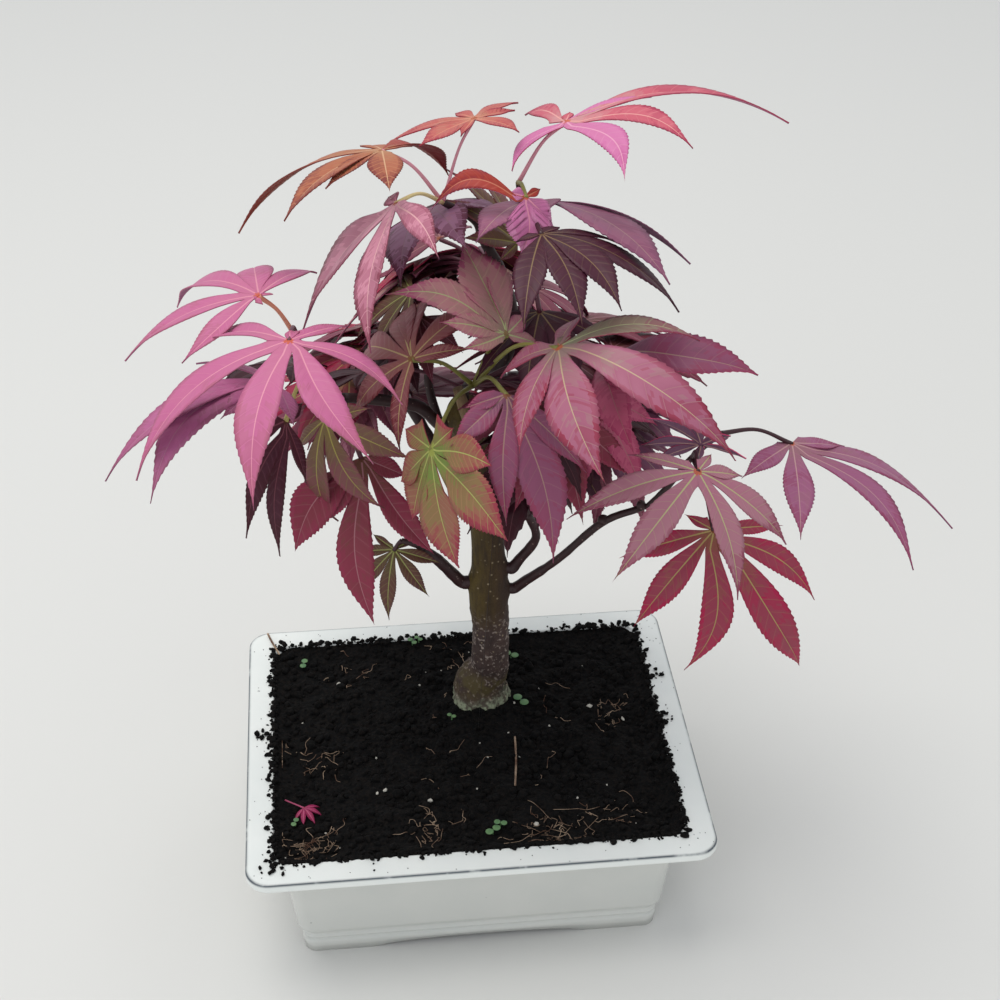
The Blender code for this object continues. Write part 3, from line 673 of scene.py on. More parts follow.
def limb_reach(route, height, outward):
    """How far a rising limb reaches in a level direction at one height."""
    section = [np.interp(height, route[:, 2], route[:, axis]) for axis in range(4)]
    return section[0] * outward[0] + section[1] * outward[1] + section[3]


def root_on(stations, height, azimuth, radius, rise=2.0):
    """First stations of a limb that leaves a rising one square to its bark, a seat gap clear of it.

    It goes straight out for 2 mm, and then 2.5 mm farther out while it rises.
    """
    route = smooth_route(stations, 2)
    outward = np.array([math.cos(math.radians(azimuth)), math.sin(math.radians(azimuth)), 0])
    heights = [height + share * radius for share in (-1.1, -0.5, 0, 0.5, 1.1)]
    reach = max(limb_reach(route, near_height, outward) for near_height in heights)
    axis = np.array([np.interp(height, route[:, 2], route[:, axis]) for axis in range(3)])
    start = axis + (reach + SEAT_GAP - axis @ outward) * outward
    straight = [(*(start + length * outward), radius) for length in (0, 1, 2)]
    bend = start + 4.5 * outward + np.array([0, 0, rise])
    return (*straight, (*bend, 0.93 * radius))


def root_on_trunk(height, azimuth, radius, rise=2.0):
    """First stations of a limb that leaves the trunk."""
    return root_on(trunk_stations, height, azimuth, radius, rise)


bough_stations = {
    "bough_left_low": (*root_on_trunk(126, 185, 2.7), (-10, 13, 141, 2.2), (-16, 12, 148, 1.9)),
    "bough_right_long": (
        *root_on_trunk(122, -8, 2.2), (36, 10, 140, 1.6), (52, 4, 161, 1.5), (66, 0, 170, 1.3),
    ),
    "bough_right_steep": (*root_on_trunk(132.5, -12, 2.3, 4), (28, 12, 150, 1.8), (24, 9, 164, 1.6)),
    "bough_left": (
        *root_on_trunk(203, 190, 2.6), (-16, 11, 213, 2.3), (-28, 7, 219, 2.1), (-43, 1, 225, 1.8),
    ),
    "bough_back_left": (
        *root_on_trunk(165, 120, 2.6), (-8, 34, 178, 2.3), (-18, 42, 194, 2.0), (-30, 48, 208, 1.7),
    ),
    "bough_back_right": (
        *root_on_trunk(148, 60, 2.6), (25, 31, 162, 2.2), (36, 40, 182, 2.0), (46, 46, 198, 1.7),
    ),
    "leader": (
        *root_on_trunk(205, 40, 3.0, 5),
        (14, 20, 222, 2.7), (19, 18, 240, 2.4), (15, 17, 262, 2.1), (9, 16, 275, 1.9),
    ),
    "cut_stub": (*root_on_trunk(203, 268, 2.4, 6), (-2, 6.6, 223, 1.9)),
}
leader = bough_stations["leader"]


def trunk_swell(points):
    """Flare lobes at the foot, a collar round each bough's root, and bark relief.

    Old bark has plates 4 mm wide and furrows 1.5 mm wide that are drawn out upwards. Young
    bark has only a third of the plates' relief.
    """
    height = points[..., 2] - foot_height
    fade = np.clip(1 - height / FLARE_HEIGHT, 0, 1) ** 2
    angle = np.arctan2(points[..., 1] - FOOT_Y, points[..., 0] - FOOT_X)
    factor = 1 + fade * (0.10 * np.cos(3 * angle + 0.6) + 0.06 * np.cos(5 * angle))
    for stations in bough_stations.values():
        from_root = np.linalg.norm(points - stations[0][:3], axis=-1)
        factor += 0.20 * bell(from_root, 0, COLLAR_REACH)
    rough = np.clip((YOUNG_BARK_START - points[..., 2]) / (YOUNG_BARK_START - OLD_BARK_TOP), 0, 1)
    furrow = bumps(points * (1, 1, 0.6), 1.5) - 0.5
    plate = bumps(points * (1, 1, 0.7), 4.0) - 0.5
    ridge = 0.03 * bell(points[..., 2], RIDGE_HEIGHT, 0.8)
    return factor + rough * (0.12 * furrow + 0.09 * plate) + (1 - rough) * 0.03 * plate + ridge


trunk_rings = limb_rings(smooth_route(trunk_stations, TRUNK_STEPS), TRUNK_SIDES, trunk_swell)
trunk_rings[0, :, 2] = foot_height

bark = new_finish("maple_bark", "4a3b24", 0.8)
# Young bark is a thin smooth skin with pale pores 1 mm long, painted olive on its left side as light and
# dark brown on its right as shade; at the foot it has corked to grey-purple plates with whitish flecks and
# a bloom of pale lichen just over the soil.
where = place_on(bark)
height = coordinate(bark, where, "Z")
painted_light_across = coordinate(bark, where, "X")
streak = noise(bark, drawn_up(bark, where, 0.22), 420.0, 5.0)
blotch = noise(bark, where, 130.0, 4.0)
grain = noise(bark, where, 620.0, 6.0)
# Painted light and shade: olive towards the trunk's left side, dark brown towards its right.
young = blend(bark, ramp(bark, painted_light_across, 0.003, 0.016), "564617", "3a2415")
young = blend(bark, ramp(bark, streak, 0.4, 0.68, 0.0, 0.7), young, "2a1c12")
old = blend(bark, blotch, "241819", "57433c")
old = blend(bark, ramp(bark, grain, 0.57, 0.66, 0.0, 0.8), old, "a8998f")
# An olive band 10 mm wide, torn into patches, breaks up the grey just over the bloom.
olive_low = ramp(bark, height, 0.062, 0.068)
olive_band = combine(bark, olive_low, ramp(bark, height, 0.072, 0.079, 1.0, 0.0))
olive_patch = combine(bark, olive_band, ramp(bark, blotch, 0.44, 0.56, 0.1, 0.85))
old = blend(bark, olive_patch, old, "4f4420")
# The heights at which the kinds of bark meet wander up and down by 6 mm.
line = combine(bark, height, ramp(bark, blotch, 0.0, 1.0, -0.006, 0.006), "ADD")
body = blend(bark, ramp(bark, line, 0.104, 0.116), old, young)
bloom_level = ramp(bark, line, 0.0605, 0.0655, 1.0, 0.0)
bloom = combine(bark, bloom_level, ramp(bark, grain, 0.4, 0.55, 0.15, 0.9))
body = blend(bark, bloom, body, "9aa386")
body = blend(bark, ramp(bark, cells(bark, where, 330.0), 0.08, 0.17, 0.6, 0.0), body, "b3a184")
bark_skin = relief(bark, combine(bark, streak, grain, "ADD"), 0.6, 0.0009)
link_surface(bark, Base_Color=body, Normal=bark_skin)

trunk = place_piece("bark_trunk", *closed_skin(trunk_rings), [bark])
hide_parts("trunk")


# Boughs and leader: slimmer limbs of the same wood in smooth dark red-brown bark with pale pores.
# Each starts inside its collar on the trunk and tapers to the twig that goes on from its tip.

bough_bark = new_finish("young_bough_bark", "34161c", 0.55)
where = place_on(bough_bark)
mottle = noise(bough_bark, where, 260.0, 5.0)
young = blend(bough_bark, mottle, "1c0a0e", "3e1b1e")
pore_mask = ramp(bough_bark, cells(bough_bark, where, 420.0), 0.08, 0.16, 0.55, 0.0)
young = blend(bough_bark, pore_mask, young, "9a8078")
link_surface(bough_bark, Base_Color=young, Normal=relief(bough_bark, mottle, 0.35, 0.0006))

cut_wood = new_finish("dry_pruned_stub", "7a6048", 0.85)
# The stub's wood has dried grey-brown, with a grain that runs up it.
grain = noise(cut_wood, drawn_up(cut_wood, place_on(cut_wood), 0.15), 900.0, 4.0)
dry_tone = blend(cut_wood, grain, "5d452f", "a58a68")
link_surface(cut_wood, Base_Color=dry_tone, Normal=relief(cut_wood, grain, 0.4, 0.0005))


def bough_swell(points):
    """Faint knots and wrinkles along a bough."""
    return 1 + 0.22 * (bumps(points, 6) - 0.5) + 0.16 * (bumps(points, 2.2) - 0.5)


def knot(spot, radius, length=1.0):
    """Bud or node: an egg-shaped swelling on a twig."""
    angle = np.linspace(0, 2 * np.pi, 12, endpoint=False)
    tilt = np.linspace(0.12, np.pi - 0.12, 9)[::-1, None]
    ball = np.stack([
        np.sin(tilt) * np.cos(angle),
        np.sin(tilt) * np.sin(angle),
        length * np.cos(tilt) * np.ones(len(angle)),
    ], -1)
    return closed_skin(np.array(spot) + radius * ball)


ROOT_DEPTH = 4
BOUGH_SIDES = 24
BOUGH_STEPS = 8
for name, stations in bough_stations.items():
    first, second = np.array(stations[0]), np.array(stations[1])
    inward = first - ROOT_DEPTH * (second - first) / np.linalg.norm((second - first)[:3])
    inward[3] = first[3]
    route = smooth_route([inward, *stations], BOUGH_STEPS)
    shells = [closed_skin(limb_rings(route, BOUGH_SIDES, bough_swell))]
    if name == "bough_right_long":
        shells += [knot((52.5, 4, 162.4), 2.3, 0.9), knot((66, 0, 171), 1.9, 1.2)]
    finish, slot = (cut_wood, "cut_wood") if name == "cut_stub" else (bough_bark, "bough_bark")
    limb = place_piece("bark_" + name, *join_shells(shells), [finish])
    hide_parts(name)


# Foliage: soft hand-shaped leaves on slim stalks. Each leaf is a blade 0.35 mm thick of five
# or seven toothed lobes that part near the stalk, bend down to long tips and carry pale ribs.
# Tints have their place on a leaf, so they are plain colours dealt out to its faces.

LOBE_ANGLES = (0, 37, 74, 115)
LOBE_SHARES = (1.0, 0.93, 0.75, 0.42)
OUTER_GAP = 35
SINUS_SHARE = 0.13
LOBE_HALF_WIDTH = 0.128
NECK_HALF_WIDTH = 0.03
SWELL_POWER = 2.1
BLADE_THICKNESS = 0.35
MERGE_STEPS = 2000
WEB_ROWS = 4
RIB_HALF_WIDTH = 0.3
GROOVE_DEPTH = 0.25
PUFF_HEIGHT = 0.25
VEIN_WIDTH = 0.3
VEIN_STEP = 4
VEIN_SWEEP = 0.8
VEIN_CURVE = 1.15

# The tints that each kind of leaf is dealt: at the stalk, over the blade, at the tips and
# edges, along the ribs, in the spot where the ribs meet, and underneath.
TINT_SETS = {
    "pink": "c26f90 c06690 b3617e d98ea3 c8604c a25b80",
    # shaded_pink is a copy of pink with painted light on its blade and tips, for a leaf that lies in the
    # crown's shade.
    "shaded_pink": "ab6986 c46f9e d086ad d98ea3 c8604c a25b80",
    "rose_pink": "c9749c cc74a4 c4669a dc9ab4 c86464 b0648c",
    "dusty_pink": "eba8bb b67186 884053 e0acaf b4644c 8f5a73",
    "purple": "bb6b93 b0608b 9e5977 b37992 8c5048 845775",
    "dark_purple": "4a1e2c 4e2030 451622 7a4450 5a302c 4a2c3c",
    "violet": "8c5879 965b75 844b67 ad8984 8a5840 6e4d62",
    "wine": "784c60 8e4d6a 933e5c a68178 8a5840 704d63",
    "berry": "d5719d ea6798 d14673 b88e87 8a5840 79506a",
    "cerise": "a25f68 c15a79 ab4064 b6737a 905038 80415d",
    "magenta": "744a4c 7c3c50 7e3048 9c6a6c 905038 6c3a50",
    "grey_magenta": "9e817b a56078 96384f bba184 c46a48 87516c",
    "mauve": "93626e 975678 8c3d5f b58a8c b86048 7e4f74",
    "mauve_green": "a96b7e a9717f 93475e b4b07e b86048 835a75",
    "sage": "8f8f72 8c7668 8a4258 b4b88a c46a48 7a5060",
    "maroon": "865a40 95374c a81646 a8905a 8c5030 6d2f3d",
    "crimson": "6f4638 823442 8c2c47 a36a72 704030 622b3b",
    "deep_maroon": "5c3a30 6c2e3c 762c42 94606a 704030 582838",
    "dark_maroon": "3a1a20 3c1420 42121f 60343c 4c2820 3c1c28",
    "plum": "6a4a60 784460 7e3e5a 9c8078 8a5840 66485e",
    "rose": "947b6b b07a7d a6526f b0b781 8a7048 87616d",
    "red_bronze": "915a54 915358 75242e b89e6f 8a6038 7a4a53",
    "rust": "ae7854 aa6246 823a32 cc9f7b a86c48 8f4f3d",
    "rust_red": "bb836c b95f59 a43948 d38770 b06040 903c3b",
    "scarlet": "9c4434 a2342a 8a2c34 c07058 a05038 7c2c2c",
    "red": "c6898c c45b6c ad3c58 df9d98 c86848 b8708c",
    "green_red": "768740 95614d 973746 a9af62 98a04c 735747",
    "olive": "736238 6e4d3f 7b3f4a 998e4b 88884c 60513e",
    "bronze": "625831 623e32 573332 979859 8a8c48 543e38",
    "slate": "9a5f6c 936683 602b42 8c6778 5c4440 695063",
    "night": "3d1e26 491f2f 421327 7d6548 6c5038 462d3b",
    "fallen": "8c2450 9a2456 8a1c48 b05070 8c3040 701c40",
}
# A leaf's parts have these numbers, and those of a lobe in its other tint have 100 more.
BLADE_LEVELS = 6
RIB, VEIN, SPOT, UNDER = range(BLADE_LEVELS, BLADE_LEVELS + 4)
OTHER_TINT = 100


def leaf_finish(tint, part):
    """Soft matt leaf skin in one plain colour, made once for each tint and part.

    Parts 0 to 5 run over the blade: the stalk's tint passes to the blade's by thirds, and
    that to the tips' by halves. A side vein is the blade's colour with a little of the rib's.
    """
    name = "leaf_" + tint + "_" + str(part)
    if name in bpy.data.materials:
        return bpy.data.materials[name]
    hub, blade, tip, rib, spot, under = [np.array(linear(code)) for code in TINT_SETS[tint].split()]
    shade = [
        hub, (2 * hub + blade) / 3, (hub + 2 * blade) / 3, blade, (blade + tip) / 2, tip,
        rib, 0.82 * blade + 0.18 * rib, spot, under,
    ][part]
    finish = new_finish(name, "ffffff", 0.62 if part == UNDER else 0.48, Specular_IOR_Level=0.3)
    finish.node_tree.nodes["Principled BSDF"].inputs["Base Color"].default_value = (*shade, 1)
    return finish


def leaf_axes(heading, dip, bank):
    """Directions of a leaf's middle lobe, of its left side and of its upper face."""
    turn, drop, roll = np.radians([heading, dip, bank])
    forward = np.array([np.cos(turn) * np.cos(drop), np.sin(turn) * np.cos(drop), -np.sin(drop)])
    side = np.array([-np.sin(turn), np.cos(turn), 0.0])
    up = np.cross(forward, side)
    left = np.cos(roll) * side + np.sin(roll) * up
    return forward, left, np.cross(forward, left)


def lobe_plan(leaf):
    """Angle, length share, bow, width and roll of each lobe, from the right-hand one to the left.

    The leaf's trim gives a lobe's turn from its usual angle, stretch, bow, broadness and roll.
    A lobe's width share is divided by the root of its stretch, so that a longer lobe is
    wider too, by that root.
    """
    half = leaf["lobes"] // 2
    plan = []
    for number in range(-half, half + 1):
        given = leaf["trim"].get(number, (0, 1))
        turn, stretch, bow, broad, roll = (*given, *(0, 1, 0, 1, 0)[len(given):])
        angle = math.copysign(LOBE_ANGLES[abs(number)] * leaf["spread"], number) + turn
        width = leaf["width"] * broad / math.sqrt(stretch)
        tinted = OTHER_TINT if number in leaf["other_lobes"] else 0
        plan.append((angle, LOBE_SHARES[abs(number)] * stretch, bow, width, roll, tinted))
    return plan


def lobe_half_width(t, width, tail):
    """Half a lobe's width as a share of its length, at share t of the way to its tip.

    It is the lobe's half-width times t^power (1 - t)^tail over that product's highest value,
    which swells near the middle and draws out to a thin tip, plus the neck's half-width
    times (1 - t)^3.
    """
    t = np.clip(t, 0, 1)
    power = SWELL_POWER
    highest = power ** power * tail ** tail / (power + tail) ** (power + tail)
    return width * LOBE_HALF_WIDTH * t ** power * (1 - t) ** tail / highest + NECK_HALF_WIDTH * (1 - t) ** 3


def lobe_rows(length, rows):
    """For each row past the notches: its share of the way to the tip, its tooth, and whether it
    is one of the narrow strips after every fourth row, which are the side veins.
    """
    row_number = np.arange(rows)
    share = (row_number + 1) / rows
    vein_rows = np.arange(2, rows - 3, VEIN_STEP)
    vein_share = VEIN_WIDTH / (length * (1 - SINUS_SHARE))
    share = np.concatenate([share, share[vein_rows] + vein_share])
    tooth = np.concatenate([row_number % 2, vein_rows % 2]) - 0.5
    is_vein = np.concatenate([np.zeros(rows, bool), np.ones(len(vein_rows), bool)])
    order = np.argsort(share, kind="stable")
    return share[order], tooth[order], is_vein[order]


def lobe_edge(length, width, half, depth, leaf, share, bite, step):
    """One edge of a lobe, as how far along and across each row of its grid reaches there.

    Half and depth give the notch on this side: the angle from the middle of the lobe, and
    the distance from the hub. The first rows fan out from the hub by the line through the
    notch. Past it the edge follows lobe_half_width, and each tooth is drawn out by a share
    of the width and forward by a share of the step from row to row.
    """
    web = np.arange(WEB_ROWS + 1) / WEB_ROWS
    notch_along = depth * math.cos(math.radians(half))
    notch_across = depth * math.sin(math.radians(half))
    along = notch_along + (length - notch_along) * share
    across = length * lobe_half_width(along / length, width, leaf["tail"])
    notch_gap = notch_across - length * lobe_half_width(notch_along / length, width, leaf["tail"])
    across = across + notch_gap * (1 - share) ** 9
    across = across * (1 + leaf["teeth"] * bite)
    along = along + 0.5 * step * bite
    across[-1] = 0
    along[-1] = length
    return np.concatenate([web * notch_along, along]), np.concatenate([web * notch_across, across])


def lobe_sheet(length, width, bow, roll, halves, depths, leaf, rows, strips, chance):
    """One lobe laid flat: how far along and across each point of its grid lies, and its lift.

    Halves and depths give the notches on its right and left. Every second row has a tooth,
    full-sized from 38% of the way to the tip and left out at the tip. Rows sweep forward from
    the rib as the side veins do, and the blade is puffed up a little between them.
    """
    share, tooth, is_vein = lobe_rows(length, rows)
    bite = tooth * np.clip((share - 0.08) / 0.3, 0, 1) * (share < 0.97)
    (right_along, right_across), (left_along, left_across) = [
        lobe_edge(length, width, half, depth, leaf, share, bite, length / rows)
        for half, depth in zip(halves, depths)
    ]
    web = np.arange(WEB_ROWS + 1) / WEB_ROWS
    half_width = 0.5 * (right_across + left_across)
    middle = 0.5 * (right_along + left_along) - VEIN_SWEEP * half_width
    middle[:WEB_ROWS + 1] = web * max(middle[WEB_ROWS], 0.3 * right_along[WEB_ROWS])
    middle = np.maximum.accumulate(middle)
    rib_half = np.minimum(RIB_HALF_WIDTH * (1 - 0.7 * middle / length), 0.45 * half_width)
    reach = np.concatenate([np.linspace(1, 0, strips + 1), np.linspace(0, 1, strips + 1)])
    on_left = (np.arange(len(reach)) > strips)[None]
    edge_across = np.where(on_left, left_across[:, None], right_across[:, None])
    edge_along = np.where(on_left, left_along[:, None], right_along[:, None])
    across = rib_half[:, None] + (edge_across - rib_half[:, None]) * reach
    along = middle[:, None] + (edge_along - middle[:, None]) * reach ** VEIN_CURVE
    across = np.where(on_left, across, -across)
    across[0] = 0
    along[0] = 0
    t = along / length
    fold = chance.uniform(0.04, 0.20)
    puff = PUFF_HEIGHT * np.sin(np.arange(len(middle)) * np.pi / 2.5)[:, None] * reach * (1 - reach)
    groove = -GROOVE_DEPTH * (reach < 0.05)
    lift = (fold * np.abs(across) + puff + groove) * np.clip(4 * t, 0, 1)
    lift = lift - chance.uniform(0.0, 0.02) * length * t ** 3
    lift = lift + chance.uniform(-0.25, 0.25) * across * t
    turned = math.radians(roll) * np.clip(t / 0.35, 0, 1)
    lift = lift + np.sin(turned) * across
    across = np.cos(turned) * across + chance.uniform(-0.01, 0.01) * length * t ** 3
    across = across + bow * length * np.sin(np.pi * np.clip((t - 0.12) / 0.88, 0, 1))
    vein_strip = np.concatenate([np.zeros(WEB_ROWS + 1, bool), is_vein])
    return along, across, lift, vein_strip, reach


def deal_parts(leaf, length, distance, reach, spot, vein_strip, chance):
    """Part of the tint set that each square of a lobe's grid takes, given for both its triangles.

    A square's place along the lobe, its nearness to the edge and a mottled noise say how far
    its tint has passed from the stalk's to the tips'.
    """
    count_rows, columns = distance.shape
    row = np.repeat(np.arange(count_rows - 1), columns - 1)
    column = np.tile(np.arange(columns - 1), count_rows - 1)
    place = distance[row, column] / length
    margin = np.maximum(reach[column], reach[column + 1])
    cloud = bumps(spot[row, column], 6.0) + 0.5 * bumps(spot[row, column] + 50, 2.0) - 0.75
    level = 3 * np.clip(place / leaf["inner"], 0, 1) + 2 * np.clip((place - 0.6) / 0.35, 0, 1)
    level = level + (margin > 0.99) * (place > 0.15) + 2.2 * cloud + chance.uniform(-0.3, 0.3, len(row))
    part = np.clip(np.round(level), 0, BLADE_LEVELS - 1).astype(int)
    part = np.where(vein_strip[row + 1] & (place < 0.93), VEIN, part)
    part = np.where((column == columns // 2 - 1) & (place < 0.95), RIB, part)
    part = np.where(distance[row, column] < leaf["spot"], SPOT, part)
    return np.repeat(part, 2)


def close_sheet(points, tops, parts):
    """Closed mesh from the upper triangles of all lobes and their points on both sides.

    Points that two lobes share are made one. The edge is made up of the sides that belong to
    one triangle only, and a narrow wall closes it.
    """
    key = np.round(points[:, 0] * MERGE_STEPS).astype(np.int64)
    _, kept, merged = np.unique(key, axis=0, return_index=True, return_inverse=True)
    points = points[kept]
    tops = merged.ravel()[tops]
    whole = (tops[:, 0] != tops[:, 1]) & (tops[:, 1] != tops[:, 2]) & (tops[:, 0] != tops[:, 2])
    tops, parts = tops[whole], parts[whole]
    count = len(points)
    pairs = np.concatenate([tops[:, (0, 1)], tops[:, (1, 2)], tops[:, (2, 0)]])
    code = np.sort(pairs, axis=1) @ np.array([count, 1])
    _, inverse, repeats = np.unique(code, return_inverse=True, return_counts=True)
    rim = pairs[repeats[inverse.ravel()] == 1]
    wall = np.concatenate([
        np.stack([rim[:, 1], rim[:, 0], rim[:, 0] + count], -1),
        np.stack([rim[:, 1], rim[:, 0] + count, rim[:, 1] + count], -1),
    ])
    faces = np.concatenate([tops, tops[:, ::-1] + count, wall])
    under = np.where(parts % OTHER_TINT == RIB, parts, UNDER + parts // OTHER_TINT * OTHER_TINT)
    parts = np.concatenate([parts, under, np.full(len(wall), BLADE_LEVELS - 1)])
    flat = np.zeros(len(faces), bool)
    flat[-len(wall):] = True
    return points.transpose(1, 0, 2).reshape(-1, 3), faces, parts, flat


def leaf_shell(leaf, rows, strips, seed):
    """Closed mesh of one leaf, with the part of its tint set that each triangle takes.

    The flat lobes are bent over an arc: a point goes out to sin(bend d)/bend and down by
    (1 - cos(bend d))/bend at distance d from the hub. The underside is the same sheet set
    down by the blade's thickness.
    """
    chance = np.random.default_rng(seed)
    forward, left, up = leaf_axes(leaf["heading"], leaf["dip"], leaf["bank"])
    bend = math.radians(leaf["droop"]) / leaf["reach"]
    plan = lobe_plan(leaf)
    angles = [lobe[0] for lobe in plan]
    shares = [lobe[1] for lobe in plan]
    inner_gaps = [0.5 * (after - angle) for angle, after in zip(angles, angles[1:])]
    gaps = [OUTER_GAP, *inner_gaps, OUTER_GAP]
    sinus = leaf["sinus"] * leaf["reach"]
    inner_depths = [sinus * min(share, after, 1) for share, after in zip(shares, shares[1:])]
    depths = [0.7 * sinus, *inner_depths, 0.7 * sinus]
    points, tops, parts = [], [], []
    start = 0
    for index, (angle, share, bow, width, roll, tinted) in enumerate(plan):
        length = leaf["reach"] * share
        along, across, lift, vein_strip, reach = lobe_sheet(
            length, width, bow, roll, gaps[index:index + 2], depths[index:index + 2],
            leaf, rows, strips, chance,
        )
        distance = np.hypot(along, across)
        heading = np.radians(angle) + np.arctan2(across, along)
        out = np.cos(heading)[..., None] * forward + np.sin(heading)[..., None] * left
        tilt = (bend * distance)[..., None]
        normal = np.cos(tilt) * up + np.sin(tilt) * out
        spot = leaf["hub"] + np.sin(tilt) / bend * out - (1 - np.cos(tilt)) / bend * up
        upper = spot + lift[..., None] * normal
        points.append(np.stack([upper, upper - BLADE_THICKNESS * normal], 2).reshape(-1, 2, 3))
        tops.append(grid_faces(*along.shape) + start)
        start += along.size
        parts.append(deal_parts(leaf, length, distance, reach, spot, vein_strip, chance) + tinted)
    return close_sheet(np.concatenate(points), np.concatenate(tops), np.concatenate(parts))


def leaf_row(hub, heading, dip, bank, reach, droop, lobes=7, spread=1.0, trim=None, **look):
    """One leaf: where its lobes meet, which way its middle lobe points, how far it dips, banks,
    reaches and droops, its number of lobes, what makes each lobe its own, and its look.
    """
    return {
        "hub": hub,
        "heading": heading,
        "dip": dip,
        "bank": bank,
        "reach": reach,
        "droop": droop,
        "lobes": lobes,
        "spread": spread,
        "trim": trim or {},
        "width": 1.0,
        "tail": 2.0,
        "teeth": 0.065,
        "sinus": SINUS_SHARE,
        "tint": "magenta",
        "other_tint": "magenta",
        "other_lobes": (),
        "inner": 0.4,
        "spot": 1.0,
        "stalk": "plum",
        "stalk_radius": 0.72,
        "stalk_from": None,
        "shaded": False,
        **look,
    }


def spray_rows(centre, outward, seed, count, radius, rise, tints, reach):
    """Leaves of a hidden or inner spray, fanned about one heading from a seeded rule."""
    chance = random.Random(seed)
    rows = []
    for index in range(count):
        swing = 150 * ((index + 0.5) / count - 0.5) + chance.uniform(-12, 12)
        heading = outward + swing
        distance = radius * chance.uniform(0.65, 1.0)
        height = rise * (index % 3 - 1) + chance.uniform(-5, 5)
        hub = (
            centre[0] + distance * math.cos(math.radians(heading)),
            centre[1] + distance * math.sin(math.radians(heading)),
            centre[2] + height,
        )
        rows.append(leaf_row(
            hub, heading + chance.uniform(-20, 20), chance.uniform(15, 45), chance.uniform(-15, 15),
            reach * chance.uniform(0.85, 1.1), chance.uniform(30, 55), lobes=chance.choice((5, 7)),
            tint=tints[index % len(tints)],
        ))
    return rows


def stem_beyond(bough, *stations):
    """Stem of a mass: it starts 2 mm inside a bough's tip and goes straight on for 3 mm first."""
    route = smooth_route(bough_stations[bough], 2)
    tip = route[-1]
    onward = (route[-1, :3] - route[-2, :3]) / np.linalg.norm(route[-1, :3] - route[-2, :3])
    start = tip[:3] - 2 * onward
    straight = [(*(tip[:3] + length * onward), 0.9 * tip[3]) for length in (1.5, 3)]
    return ((*start, 0.97 * tip[3]), *straight, *stations)


masses = {}


def add_mass(name, slot, seen, stem, *rows):
    """Mass in place of the one of this name; so many of its leaves show whole in the picture."""
    masses[name] = {"slot": slot, "seen": seen, "stem": stem, "rows": list(rows)}


add_mass(
    "foliage_left", "leaf_pink", 6,
    stem_beyond("bough_left", (-50, -4, 233, 1.5), (-54, -7, 243, 1.3), (-57, -8, 254, 1.1)),
    leaf_row(
        (-69, -11, 274), 137, -2, -4, 54, 49, width=0.85, tint="pink", stalk="orange", teeth=0.03,
        trim={-3: (0, 0.15), -2: (-4, 1), -1: (-5, 0.79, 0, 1.3), 0: (-8, 1.15), 1: (8, 1.06, -0.01),
              2: (9, 0.88, 0.04), 3: (0, 0.15)},
    ),
    leaf_row(
        (-59, -45, 276), 250, 1, 2, 63, 55, spread=1.05, width=0.85, tint="pink", spot=1.2, teeth=0.03,
        trim={-3: (-42, 0.3), -2: (-34, 1.12, -0.02), -1: (-9, 1.18, -0.04), 0: (5, 0.99, -0.05),
              1: (10, 0.92, -0.08), 2: (0, 0.91, 0.09, 0.9), 3: (26, 0.89)},
    ),
    leaf_row(
        (-65, -30, 251), 232, -25, -17, 64, 78, lobes=5, spread=0.9, tint="purple",
        trim={-2: (-16, 0.66), -1: (16, 1.19, 0, 0.65), 0: (6, 1.03, -0.13, 0.85), 1: (-26, 0.5),
              2: (0, 0.4)},
    ),
    leaf_row(
        (-63, -23, 232), 282, 60, -45, 50, 20, lobes=5, width=0.75, tint="dark_purple", stalk="yellow",
        trim={-2: (-8, 0.65), -1: (5, 0.93, -0.14), 0: (-6, 0.94, -0.15, 0.85), 1: (-14, 0.54),
              2: (36, 0.36)},
    ),
    leaf_row(
        (-50, -13, 225), 283, 31, 43, 39, 66, lobes=5, spread=1.1, tint="olive", stalk="olive",
        trim={-2: (-2, 0.61), -1: (-2, 1.26), 0: (1, 1.03, -0.04), 1: (2, 0.98), 2: (0, 0.6)},
    ),
    leaf_row(
        (-38, -9, 206), 276, 48, -5, 56, 20, lobes=5, spread=0.8, width=1.1, tail=1.6, tint="crimson",
        trim={-2: (20, 0.7), -1: (-12, 0.79, -0.11, 1.2), 0: (-1, 1.09, -0.09, 0.78),
              1: (2, 0.85, -0.04, 0.75), 2: (3, 0.42)},
    ),
)
add_mass(
    "foliage_left_low", "leaf_green", 1,
    stem_beyond("bough_left_low", (-21, 11, 152, 1.4), (-24, 11, 153, 1.1)),
    leaf_row(
        (-27, 11, 149), 253, 42, 10, 26, 41, spread=1.1, tint="bronze", stalk="dark",
        trim={-3: (9, 1.17), -2: (-3, 0.82), -1: (-1, 0.9), 0: (-5, 1.12), 1: (2, 0.96)},
    ),
)
